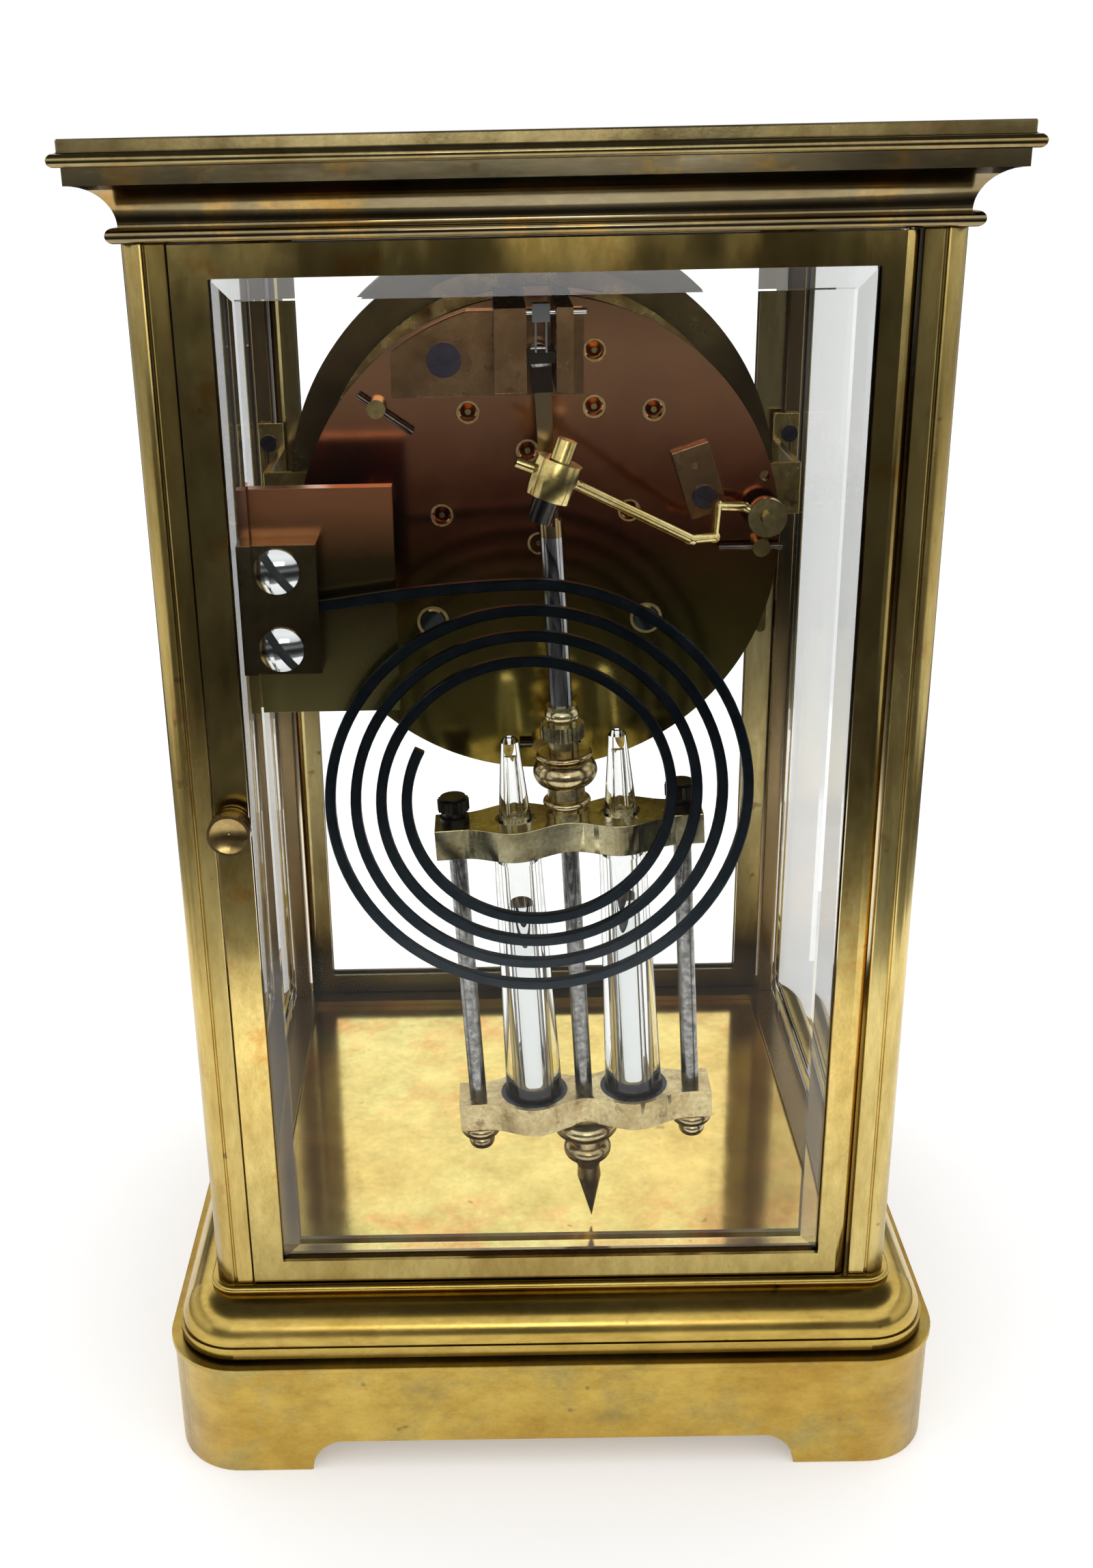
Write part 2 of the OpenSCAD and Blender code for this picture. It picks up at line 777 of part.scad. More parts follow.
module plate_pillars() {
    waist = 2.6;
    collar = 3.2;
    color(BRASS) for (p = PILLARS) at(p) {
        turned_y(front_y) polygon([[0, 0], [collar, 0], [collar, 3], [waist, 5], [waist, plate_gap - 5],
            [collar, plate_gap - 3], [collar, plate_gap], [0, plate_gap]]);
        difference() {
            along_y(in_y - eps, plate_y + tail) circle(r = 1.7);
            translate([0, plate_y + tail / 2, 0]) rotate([0, 90 - p[2], 0])
                cylinder(h = 8, r = taper_r, center = true);
        }
    }
}

module taper_pins() {
    color(STEEL) for (p = PILLARS) at(p) translate([0, plate_y + tail / 2, 0]) rotate([0, 90 - p[2], 0])
        translate([0, 0, -taper_l * 0.66]) cylinder(h = taper_l, r = taper_r);
}

module back_cock() {
    color(BRASS) difference() {
        union() {
            intersection() {
                translate([cock_right, plate_y, mov_z + cock_low])
                    cube([cock_left - cock_right, cock_t, cock_high - cock_low]);
                translate([0, 0, mov_z]) along_y(plate_y - 1, plate_y + cock_t + 1) circle(r = plate_r - 0.5);
            }
            translate([cheek_in, plate_y, cheek_low])
                cube([cheek_left - cheek_in, cheek_y - plate_y, cheek_high - cheek_low]);
            translate([-cheek_right, plate_y, cheek_low])
                cube([cheek_right - cheek_in, cheek_y - plate_y, cheek_high - cheek_low]);
        }
        at(p_pallet) along_y(plate_y - 1, plate_y + cock_t + 1) circle(r = 1 + run);
        translate([0, pend_y, cross_z]) rotate([0, 90, 0])
            cylinder(h = 4 * cheek_left, r = cross_r, center = true);
    }
}

module strike_bridge() {
    bridge_t = 2;
    color(BRASS) at((p_pin + bridge_screw) / 2) difference() {
        rotate([0, 18, 0]) along_y(plate_y, plate_y + bridge_t) square([7, 13], center = true);
        translate([p_pin[0] - bridge_screw[0], 0, p_pin[1] - bridge_screw[1]] / 2)
            along_y(plate_y - 1, plate_y + bridge_t + 1) circle(r = pivot_r + run);
    }
}

module suspension_slider() {
    side = 0.1;
    color(BRASS) difference() {
        translate([side - cheek_in, pend_y - 2.5, pivot_z + bend_gap])
            cube([2 * (cheek_in - side), 5, slider_h]);
        for (s = [-1, 1]) translate([s * strip_x - strip_t / 2, pend_y - strip_w / 2 - 0.1, pivot_z])
            cube([strip_t, strip_w + 0.2, slider_h + 2]);
    }
}

module suspension_spring() {
    grip = 1.5;
    color(STEEL) {
        for (s = [-1, 1]) translate([s * strip_x - strip_t / 2, pend_y - strip_w / 2, pivot_z])
            cube([strip_t, strip_w, cross_z - pivot_z]);
        difference() {
            translate([-grip, pend_y - 1.6, cross_z - 1.5]) cube([2 * grip, 3.2, 3]);
            translate([0, pend_y, cross_z]) rotate([0, 90, 0]) cylinder(h = 20, r = cross_r, center = true);
        }
        translate([0, pend_y, cross_z]) rotate([0, 90, 0])
            cylinder(h = cheek_left + cheek_right + 2, r = cross_r, center = true);
    }
}

// Gong

module gong_plate() {
    color(DARK_BRASS) {
        translate([gong_plate_in, gong_plate_y - gong_plate_t, gong_plate_low])
            cube([block_out - gong_plate_in, gong_plate_t, gong_plate_high - gong_plate_low]);
        for (z = gong_posts) translate([gong_post_x, 0, mov_z + z])
            along_y(plate_y, gong_plate_y - gong_plate_t) circle(r = gong_post_r);
    }
}

module gong_block() {
    color(BRASS) difference() {
        translate([block_in, gong_plate_y, block_low])
            cube([block_out - block_in, block_t, block_high - block_low]);
        translate([block_in, gong_y, lead_z]) rotate([0, 90, 0]) cylinder(h = 12, r = wire_r, center = true);
    }
}

module gong_screws() {
    color(STEEL) for (s = [-1, 1])
        translate([gong_screw_x, block_back, (block_low + block_high) / 2 + s * gong_screw_z])
            rotate([0, -55, 0]) difference() {
                turned_y(0) intersection() {
                    square([gong_screw_r, 1.5]);
                    translate([0, 1.5 - 8]) circle(r = 8);
                }
                along_y(0.4, 3) square([3 * gong_screw_r, 1.5], center = true);
            }
}

// The gong's wire runs from its block to the top of the spiral, then winds inward
RINGS = 24;
SIDES = 6;
LEAD = 10;
lead_z = gong_z + gong_r - 3.2;
lead_in = block_in + 5;
lead_out = block_in - 0.5;

function spiral_at(turn) =
    let (r = gong_r - gong_pitch * turn, a = 90 - 360 * turn)
    [gong_x - r * cos(a), gong_y, gong_z + r * sin(a)];

function lead_at(f) =
    [lead_out + (gong_x - lead_out) * f, gong_y, lead_z + (gong_z + gong_r - lead_z) * sin(90 * f)];

gong_path = concat(
    [[lead_in, gong_y, lead_z]],
    [for (i = [0:LEAD - 1]) lead_at(i / LEAD)],
    [for (i = [0:floor(RINGS * gong_turns)]) spiral_at(i / RINGS)]);

// Rings of the wire lie square to its path, in the gong's own plane
function heading(path, i) =
    let (a = path[max(i - 1, 0)], b = path[min(i + 1, len(path) - 1)])
    (b - a) / norm(b - a);

function wire_ring(path, i) =
    let (h = heading(path, i), n = [h[2], 0, -h[0]])
    [for (k = [0:SIDES - 1])
        path[i] + wire_r * (cos(360 * k / SIDES) * n + sin(360 * k / SIDES) * [0, 1, 0])];

gong_gap = min([for (i = [LEAD + 1:len(gong_path) - 1 - RINGS], j = [i + 20:min(i + 28, len(gong_path) - 1)])
    norm(gong_path[i] - gong_path[j])]) - 2 * wire_r;
echo(gong_gap = gong_gap);

module gong() {
    n = len(gong_path);
    points = [for (i = [0:n - 1]) each wire_ring(gong_path, i)];
    walls = [for (i = [0:n - 2], k = [0:SIDES - 1])
        let (a = i * SIDES + k, b = i * SIDES + (k + 1) % SIDES)
        each [[a, a + SIDES, b], [b, a + SIDES, b + SIDES]]];
    start = [for (k = [1:SIDES - 2]) [0, k, k + 1]];
    last = (n - 1) * SIDES;
    stop = [for (k = [1:SIDES - 2]) [last, last + k + 1, last + k]];
    color(BLUED) polyhedron(points, concat(walls, start, stop));
}

// Pendulum, drawn hanging from the bend of the spring and then leaned

module hang() {
    translate([0, pend_y, pivot_z]) rotate([0, swing, 0]) children();
}

// A turned piece on the pendulum's axis, drawn as radius and distance below the bend
module turned_down(x = 0) {
    translate([x, 0, 0]) rotate([0, 180, 0]) rotate_extrude() children();
}

// A round bead, drawn as its half section
module bead(r, y, h) {
    translate([0, y - h / 2]) square([r - h / 2, h]);
    intersection() {
        translate([r - h / 2, y]) circle(d = h);
        translate([0, y - h / 2]) square([r, h]);
    }
}

module knurled(r, h, teeth) {
    linear_extrude(height = h) polygon([for (i = [0:2 * teeth - 1])
        let (a = 180 * i / teeth, q = i % 2 == 0 ? r : r - 0.35) [q * cos(a), q * sin(a)]]);
}

crutch_s = 25;
strap_w = 2.8;
strap_t = 1.6;
strap_l = 30;
fork_w = 1.6;

module pendulum_rod() {
    block = 4.3;
    rod_end = bar_s - 3.2;
    color(STEEL) hang() difference() {
        union() {
            translate([-1.7, -2, -bend_gap - block]) cube([3.4, 4, block]);
            translate([-strap_w / 2, -strap_t / 2, -strap_l]) cube([strap_w, strap_t, strap_l - bend_gap]);
            translate([0, 0, -rod_end]) cylinder(h = rod_end - strap_l + 3, r = rod_r);
        }
        translate([-fork_w / 2, -5, -crutch_s - 3]) cube([fork_w, 10, 6]);
    }
}

module rating_nut() {
    collar_l = 3.6;
    color(BRASS) hang() difference() {
        union() {
            translate([0, 0, -rod_l - nut_l]) knurled(4, nut_l - collar_l, 26);
            turned_down() bead(3.2, rod_l + collar_l / 2, collar_l);
            translate([0, 0, -rod_l - nut_l + eps]) cylinder(h = nut_l - eps, r = 2.8);
        }
        translate([0, 0, -rod_l - nut_l - 1]) cylinder(h = nut_l + 2, r = rod_r + run);
    }
}

module bob_vase() {
    h = bar_s - vase_s;
    color(BRASS) hang() difference() {
        turned_down() {
            translate([0, vase_s]) square([2.8, h]);
            bead(5.2, vase_s + 3, 1.2);
            bead(6, vase_s + 6.3, 5.6);
            translate([0, vase_s + 6]) square([3.5, h - 6]);
            bead(4.5, bar_s - 2.9, 1.6);
            translate([0, bar_s - 1.4]) square([4.1, 1.4]);
        }
        translate([0, 0, -bar_s]) cylinder(h = h + 1, r = rod_r + run);
    }
}

// Half depth of a bar: a wave that is full round the vials and slim at the rods
bar_end = side_rod_x + 3.8;
bar_full = vial_r + 1.9;
bar_slim = 4.2;
function bar_half(x) =
    let (v = min(abs(x), 2 * vial_x) - vial_x)
    (bar_full + bar_slim) / 2 + (bar_full - bar_slim) / 2 * cos(180 * v / vial_x);

module bar_outline() {
    steps = 56;
    upper = [for (i = [0:steps]) let (x = -bar_end + 2 * bar_end * i / steps) [x, bar_half(x)]];
    lower = [for (i = [steps:-1:0]) [upper[i][0], -upper[i][1]]];
    polygon(concat(upper, lower));
}

module bob_top_bar() {
    color(BRASS) hang() translate([0, 0, -bar_s - bar_t]) difference() {
        linear_extrude(height = bar_t) bar_outline();
        for (s = [-1, 1]) {
            translate([s * vial_x, 0, -1]) cylinder(h = bar_t - bar_lip + 1, r = vial_top_r + 0.1);
            translate([s * vial_x, 0, -1]) cylinder(h = bar_t + 2, r = neck_r + 0.5);
            translate([s * side_rod_x, 0, -1]) cylinder(h = bar_t + 2, r = bob_rod_r);
        }
        translate([0, 0, -1]) cylinder(h = bar_t + 2, r = bob_rod_r);
    }
}

module bob_bottom_bar() {
    color(BRASS) hang() translate([0, 0, -bar_low_s - bar_t]) difference() {
        linear_extrude(height = bar_t) bar_outline();
        for (s = [-1, 1]) {
            translate([s * vial_x, 0, bar_t / 2]) cylinder(h = bar_t, r = vial_r + 0.1);
            translate([s * side_rod_x, 0, -1]) cylinder(h = bar_t + 2, r = bob_rod_r);
        }
        translate([0, 0, -1]) cylinder(h = bar_t + 2, r = bob_rod_r);
    }
}

module bob_rods() {
    color(STEEL) hang() {
        for (s = [-1, 1]) translate([s * side_rod_x, 0, -bar_low_s - bar_t - 1.5])
            cylinder(h = bar_low_s + bar_t + 1.5 - bar_s + 1.5, r = bob_rod_r);
        translate([0, 0, -bar_low_s - bar_t - 1]) cylinder(h = bar_low_s + bar_t + 1 - bar_s, r = bob_rod_r);
    }
}

module vial_shape() {
    low = bar_low_s + bar_t / 2;
    polygon([[0, vial_top_s], [1, vial_top_s + 0.2], [1.7, vial_top_s + 1.2], [neck_r, bar_s + bar_lip],
        [vial_top_r, bar_s + bar_t], [vial_r, low], [0, low]]);
}

module vial_bore() {
    low = bar_low_s + bar_t / 2 - vial_floor;
    polygon([[0, vial_top_s + 4], [0.8, vial_top_s + 4], [1.2, bar_s + bar_lip],
        [bore_r, bar_s + bar_t + 3], [bore_r, low], [0, low]]);
}

module mercury_vials() {
    color(CLEAR) hang() for (s = [-1, 1]) turned_down(s * vial_x) difference() {
        vial_shape();
        vial_bore();
    }
}

module mercury() {
    low = bar_low_s + bar_t / 2 - vial_floor;
    color([0.85, 0.86, 0.88]) hang() for (s = [-1, 1]) translate([s * vial_x, 0, -low])
        cylinder(h = mercury_h, r = bore_r - eps);
}

module bob_thumbscrews() {
    color(DARK_BRASS) hang() for (s = [-1, 1]) translate([s * side_rod_x, 0, -bar_s]) difference() {
        union() {
            cylinder(h = 1.3, r = 2.8);
            cylinder(h = 2.7, r = 2.2);
            translate([0, 0, 2.5]) knurled(3, 2.3, 18);
            translate([0, 0, 4.7]) cylinder(h = 0.6, r = 2.4);
        }
        translate([0, 0, -1]) cylinder(h = 2.5, r = bob_rod_r);
    }
}

module bob_nuts() {
    color(BRASS) hang() for (s = [-1, 1]) translate([s * side_rod_x, 0, -bar_low_s - bar_t]) difference() {
        turned_down() {
            bead(4.1, 1.6, 3.2);
            bead(2.6, 4.6, 3.4);
            square([2.3, 4]);
        }
        translate([0, 0, -1.5]) cylinder(h = 2.5, r = bob_rod_r);
    }
}

module bob_finial() {
    low = bar_low_s + bar_t;
    color(DARK_BRASS) hang() difference() {
        turned_down() {
            bead(6.6, low + 2.2, 4.4);
            translate([0, low + 4]) square([3.9, 2.4]);
            bead(4.8, low + 8.2, 4.4);
            translate([0, low]) polygon([[0, 10], [3.2, 10.2], [2.2, 12.4], [2.4, 15], [0, finial_l]]);
        }
        translate([0, 0, -low - 1]) cylinder(h = 2, r = bob_rod_r);
    }
}

// Wheels

function gap_between(a, b) = norm(a - b);
function bearing(a, b) = atan2(b[1] - a[1], b[0] - a[0]);
function pitch_r(d, n, other) = d * n / (n + other);

tip_share = 0.75;
root_share = 1.25;
tooth_pitch_half = 0.205;
tooth_tip_half = 0.1;
tooth_root_half = 0.29;

// A toothed outline with a tooth at the angle given
function teeth(n, r, angle) =
    let (m = 2 * r / n, p = TURN / n, out = r + tip_share * m, low = r - root_share * m)
    [for (i = [0:n - 1], q = [[-tooth_root_half, low], [-tooth_pitch_half, r], [-tooth_tip_half, out],
        [tooth_tip_half, out], [tooth_pitch_half, r], [tooth_root_half, low]])
        q[1] * [cos(angle + (i + q[0]) * p), sin(angle + (i + q[0]) * p)]];

// A wheel with its rim, four crossings and hub, centred on its arbor
module wheel(n, r, angle, t, rim_w = 1.3) {
    rim = r - 2 * root_share * r / n - rim_w;
    hub = max(2, r * 0.2);
    along_y(in_y - t - wheel_t, in_y - t) difference() {
        polygon(teeth(n, r, angle));
        if (rim > hub + 1.5) difference() {
            circle(r = rim);
            circle(r = hub);
            for (a = [0, 90]) rotate(a + 20) square([2 * rim, 1.5], center = true);
        }
    }
}

module pinion(n, r, angle, t, length) {
    along_y(in_y - t - length, in_y - t) polygon(teeth(n, r, angle));
}

// An arbor with a pivot at each end, in both plates
module arbor(r) {
    along_y(front_y + shoulder, in_y - shoulder) circle(r = r);
    along_y(face_y, plate_y) circle(r = pivot_r);
}

// A wheel that drives the next arbor, and a pinion that the one before drives
module drives(here, next, n, other, t, rim_w = 1.3) {
    wheel(n, pitch_r(gap_between(here, next), n, other), bearing(here, next), t, rim_w);
}

module driven(here, before, n, other, t, length) {
    pinion(n, pitch_r(gap_between(here, before), n, other),
        bearing(here, before) + TURN / n / 2, t, length);
}

leaf_l = wheel_t + 2 * leaf_over;

module centre_wheel() {
    motion_r = pitch_r(gap_between(p_centre, p_minute), cannon_teeth, minute_teeth);
    color(BRASS) at(p_centre) {
        along_y(front_y + shoulder, in_y - shoulder) circle(r = 1.5);
        along_y(in_y - shoulder - eps, plate_y) circle(r = pivot_r);
        along_y(minute_hand_y - hand_t - 0.6, front_y + shoulder + eps) circle(r = 1.2);
        driven(p_centre, p_inter, great_leaves, inter_teeth, t_inter - leaf_over, leaf_l);
        drives(p_centre, p_third, centre_teeth, fine_leaves, t_centre);
        along_y(minute_hand_y, cannon_y) circle(r = cannon_r);
        along_y(cannon_y - motion_t - 0.4, cannon_y)
            polygon(teeth(cannon_teeth, motion_r, bearing(p_centre, p_minute)));
    }
}

module intermediate_wheel() {
    color(BRASS) at(p_inter) {
        arbor(arbor_r);
        driven(p_inter, p_going, great_leaves, great_teeth, t_great - leaf_over, great_t + 2 * leaf_over);
        drives(p_inter, p_centre, inter_teeth, great_leaves, t_inter);
    }
}

module third_wheel() {
    color(BRASS) at(p_third) {
        arbor(fine_r + 0.1);
        driven(p_third, p_centre, fine_leaves, centre_teeth, t_centre - leaf_over, leaf_l);
        drives(p_third, p_escape, third_teeth, fine_leaves, t_third);
    }
}

module escape_wheel() {
    low = escape_r - 1.4;
    p = TURN / escape_teeth;
    color(BRASS) at(p_escape) {
        arbor(fine_r);
        driven(p_escape, p_third, fine_leaves, third_teeth, t_third - leaf_over, leaf_l);
        along_y(in_y - t_escape - wheel_t, in_y - t_escape) difference() {
            polygon([for (i = [0:escape_teeth - 1],
                q = [[0, low], [0.45, escape_r], [0.55, escape_r], [0.6, low]])
                q[1] * [cos((i + q[0]) * p), sin((i + q[0]) * p)]]);
            difference() {
                circle(r = low - 1.2);
                circle(r = 2);
                for (a = [0, 90]) rotate(a) square([2 * low, 1.2], center = true);
            }
        }
    }
}

// A barrel's drum turns on its arbor and carries the great wheel
module barrel(here, next) {
    r = pitch_r(gap_between(here, next), great_teeth, great_leaves);
    cap = 1.4;
    bore = barrel_r + run;
    y0 = in_y - t_great - great_t;
    difference() {
        union() {
            along_y(y0, y0 + great_t) polygon(teeth(great_teeth, r, bearing(here, next)));
            along_y(y0 - drum_t, y0 + eps) circle(r = drum_r);
        }
        along_y(y0 - drum_t - 1, y0 + great_t + 1) circle(r = bore);
        along_y(y0 - drum_t + cap, y0) circle(r = drum_r - cap);
    }
}

// The wound ribbon of a mainspring, as one ring that fills its drum
module mainspring() {
    slack = 0.3;
    cap = 1.4;
    y0 = in_y - t_great - great_t;
    along_y(y0 - drum_t + cap + slack, y0 - slack) difference() {
        circle(r = drum_r - cap - slack);
        circle(r = 7);
    }
}

module going_barrel() {
    color(BRASS) at(p_going) {
        barrel(p_going, p_inter);
        mainspring();
    }
}

module strike_barrel() {
    color(BRASS) at(p_strike) {
        barrel(p_strike, p_second);
        mainspring();
    }
}

// A winding arbor with its ratchet wheel and its square for the key
module winding_arbor() {
    along_y(pan_y, in_y - shoulder) circle(r = barrel_r);
    along_y(dial_face - square_out, pan_y + eps) square(square_a, center = true);
    along_y(in_y - shoulder - eps, plate_y + 0.8) circle(r = barrel_pivot_r);
    along_y(face_y - 2, face_y - 0.5)
        polygon([for (i = [0:23], q = [[0, ratchet_r], [0.15, ratchet_r - 1]])
            q[1] * [cos((i + q[0]) * 15), sin((i + q[0]) * 15)]]);
}

module going_arbor() { color(STEEL) at(p_going) winding_arbor(); }
module strike_arbor() { color(STEEL) at(p_strike) winding_arbor(); }

module strike_wheel() {
    color(BRASS) at(p_second) {
        arbor(arbor_r);
        driven(p_second, p_strike, great_leaves, great_teeth, t_great - leaf_over, great_t + 2 * leaf_over);
        drives(p_second, p_pin, second_teeth, second_leaves, t_inter);
    }
}

lift_r = 8.6;
lift_l = 3;

module pin_wheel() {
    color(BRASS) at(p_pin) {
        along_y(front_y + shoulder, in_y - shoulder) circle(r = arbor_r);
        along_y(face_y, plate_y + 2) circle(r = pivot_r);
        driven(p_pin, p_second, second_leaves, second_teeth, t_inter - leaf_over, leaf_l);
        drives(p_pin, p_lock, pin_teeth, pin_leaves, t_pin, 3);
        for (i = [0:9]) rotate([0, 36 * i, 0]) translate([lift_r, 0, 0])
            along_y(in_y - t_pin - eps, in_y - t_pin + lift_l) circle(r = 0.5);
    }
}

module locking_wheel() {
    color(BRASS) at(p_lock) {
        arbor(fine_r);
        driven(p_lock, p_pin, pin_leaves, pin_teeth, t_pin - leaf_over, leaf_l);
        drives(p_lock, p_warn, lock_teeth, lock_leaves, t_lock);
    }
}

module warning_wheel() {
    color(BRASS) at(p_warn) {
        arbor(fine_r);
        driven(p_warn, p_lock, lock_leaves, lock_teeth, t_lock - leaf_over, leaf_l);
        drives(p_warn, p_fly, warn_teeth, warn_leaves, t_warn);
    }
}

module fly() {
    blade_w = 10;
    blade_l = 11;
    color(BRASS) at(p_fly) {
        arbor(fine_r);
        driven(p_fly, p_warn, warn_leaves, warn_teeth, t_warn - leaf_over, leaf_l);
        along_y(in_y - t_lock - 3 - blade_l, in_y - t_lock - 3) {
            square([blade_w, 0.5], center = true);
            circle(r = 1.3);
        }
    }
}

module minute_wheel() {
    d = gap_between(p_minute, p_centre);
    r = pitch_r(d, minute_teeth, cannon_teeth);
    small_r = pitch_r(d, minute_leaves, hour_teeth);
    up = bearing(p_minute, p_centre);
    color(BRASS) at(p_minute) difference() {
        union() {
            along_y(cannon_y - motion_t - 0.2, cannon_y - 0.2)
                polygon(teeth(minute_teeth, r, up + TURN / minute_teeth / 2));
            along_y(hour_y - motion_t - 0.3, cannon_y - 0.2) polygon(teeth(minute_leaves, small_r, up));
        }
        along_y(hour_y - motion_t - 2, face_y) circle(r = stud_r + run);
    }
}

module hour_wheel() {
    r = pitch_r(gap_between(p_minute, p_centre), hour_teeth, minute_leaves);
    color(BRASS) at(p_centre) difference() {
        union() {
            along_y(hour_y - motion_t, hour_y)
                polygon(teeth(hour_teeth, r, bearing(p_centre, p_minute) + TURN / hour_teeth / 2));
            along_y(hour_hand_y - hand_t, hour_y) circle(r = pipe_r);
        }
        along_y(hour_hand_y - hand_t - 1, hour_y + 1) circle(r = cannon_r + run);
    }
}

// A spade hand pointing up, from its pivot
module hand(length, width, bore) {
    difference() {
        union() {
            circle(r = bore + 1.6);
            polygon([[-width / 2, 0], [width / 2, 0], [width / 3, length * 0.62],
                [-width / 3, length * 0.62]]);
            translate([0, length * 0.66]) circle(r = width * 1.3);
            polygon([[-width, length * 0.68], [width, length * 0.68], [0.15, length], [-0.15, length]]);
        }
        circle(r = bore);
    }
}

hour_angle = -55;
minute_angle = 60;

module hour_hand() {
    color(BLUED) at(p_centre) along_y(hour_hand_y - hand_t, hour_hand_y)
        rotate(hour_angle) hand(hour_hand_l, 2.2, pipe_r);
}

module minute_hand() {
    color(BLUED) at(p_centre) along_y(minute_hand_y - hand_t, minute_hand_y)
        rotate(minute_angle) hand(minute_hand_l, 1.8, 1.2);
}

// Pallets, crutch and hammer

module pallets() {
    clear = 1.6;
    arm_r = escape_r + clear;
    toward = bearing(p_escape, p_pallet);
    crutch_y = plate_y + cock_t + 2;
    color(STEEL) at(p_pallet) rotate([0, swing, 0]) {
        along_y(front_y + shoulder, crutch_y + 3) circle(r = 1);
        along_y(face_y, front_y + shoulder + eps) circle(r = pivot_r);
        translate([p_escape[0] - p_pallet[0], 0, p_escape[1] - p_pallet[1]])
            along_y(in_y - t_escape - wheel_t - 0.4, in_y - t_escape + 0.4) {
                intersection() {
                    difference() {
                        circle(r = arm_r + 2);
                        circle(r = arm_r);
                    }
                    polygon([[0, 0], for (a = [-42:21:42]) 30 * [cos(toward + a), sin(toward + a)]]);
                }
                rotate(toward) translate([arm_r + 1, -1])
                    square([gap_between(p_escape, p_pallet) - arm_r - 1, 2]);
            }
        along_y(crutch_y, crutch_y + 3) circle(r = 1.9);
        translate([-0.8, crutch_y + 0.8, -crutch_s - 1]) cube([1.6, 1.4, crutch_s]);
        translate([0, 0, -crutch_s]) along_y(crutch_y + 0.8, pend_y + 2) circle(r = 0.5);
    }
}

// The hammer's rod, bent from its collet out to its head
HAMMER_ROD = [[p_hammer[0], hammer_y, p_hammer[1]], [-37.5, hammer_y, 7.4], [-32.5, hammer_y + 2, 8],
    [-31.5, hammer_y + 6, 3.2], [-27, hammer_y + 9, 3.6], [head_x - 3.8, head_y - 0.6, head_rise - 1.5],
    [head_x + 5.8, head_y + 0.6, head_rise + 2.6]];

module hammer() {
    tail_l = 5.6;
    toward = bearing(p_hammer, p_pin);
    color(BRASS) {
        at(p_hammer) {
            along_y(front_y + shoulder, plate_y + 8) circle(r = 1.2);
            along_y(face_y, front_y + shoulder + eps) circle(r = pivot_r);
            along_y(plate_y + 3.4, plate_y + 6.4) circle(r = collet_r);
            along_y(in_y - t_pin + 0.5, in_y - t_pin + lift_l) rotate(toward)
                translate([0, -1]) square([tail_l, 2]);
        }
        translate([0, 0, mov_z]) for (i = [0:len(HAMMER_ROD) - 2])
            rod_between(HAMMER_ROD[i], HAMMER_ROD[i + 1], hammer_wire_r);
        translate([head_x, head_y, mov_z + head_rise]) rotate([0, -20, 0]) {
            translate([0, 0, -3.6]) cylinder(h = 6.6, r = 4);
            translate([0, 0, -7.9]) cylinder(h = 5, r = 2.2);
            translate([0, 0, 3]) cylinder(h = 3.6, r = 1.8);
        }
    }
}

plinth();
base_moulding();
floor_plate();
pillars();
cornice();
top_plate();
side_glasses();
hinge_pins();
movement_brackets();
blued_screws();
dial_pan();
dial();
back_plate();
front_plate();
plate_pillars();
taper_pins();
back_cock();
strike_bridge();
suspension_slider();
suspension_spring();
gong_plate();
gong_block();
gong_screws();
gong();
rear_door_frame();
rear_glass();
rear_latch();
front_door_frame();
front_glass();
front_latch();
pendulum_rod();
rating_nut();
bob_vase();
bob_top_bar();
bob_bottom_bar();
bob_rods();
mercury_vials();
mercury();
bob_thumbscrews();
bob_nuts();
bob_finial();
pallets();
centre_wheel();
intermediate_wheel();
going_barrel();
third_wheel();
escape_wheel();
minute_wheel();
hour_wheel();
hour_hand();
minute_hand();
strike_barrel();
strike_wheel();
pin_wheel();
locking_wheel();
warning_wheel();
fly();
going_arbor();
strike_arbor();
hammer();
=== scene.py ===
import math

import bpy
from mathutils import Matrix, Quaternion, Vector


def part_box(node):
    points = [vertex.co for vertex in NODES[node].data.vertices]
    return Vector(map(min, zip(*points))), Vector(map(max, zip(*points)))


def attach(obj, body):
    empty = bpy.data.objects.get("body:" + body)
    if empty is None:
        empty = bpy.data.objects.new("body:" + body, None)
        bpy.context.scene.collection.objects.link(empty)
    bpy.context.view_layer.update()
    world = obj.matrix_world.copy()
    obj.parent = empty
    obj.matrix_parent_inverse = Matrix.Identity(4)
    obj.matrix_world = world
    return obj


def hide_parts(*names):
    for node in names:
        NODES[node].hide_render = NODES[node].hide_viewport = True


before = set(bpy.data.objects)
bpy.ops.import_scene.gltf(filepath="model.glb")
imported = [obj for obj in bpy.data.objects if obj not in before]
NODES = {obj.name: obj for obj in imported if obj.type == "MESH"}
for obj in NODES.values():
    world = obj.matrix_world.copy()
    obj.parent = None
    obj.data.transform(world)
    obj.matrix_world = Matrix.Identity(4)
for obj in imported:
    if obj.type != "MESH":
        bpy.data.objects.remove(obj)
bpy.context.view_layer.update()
SCENE = bpy.context.scene
MM = 0.001


# Materials

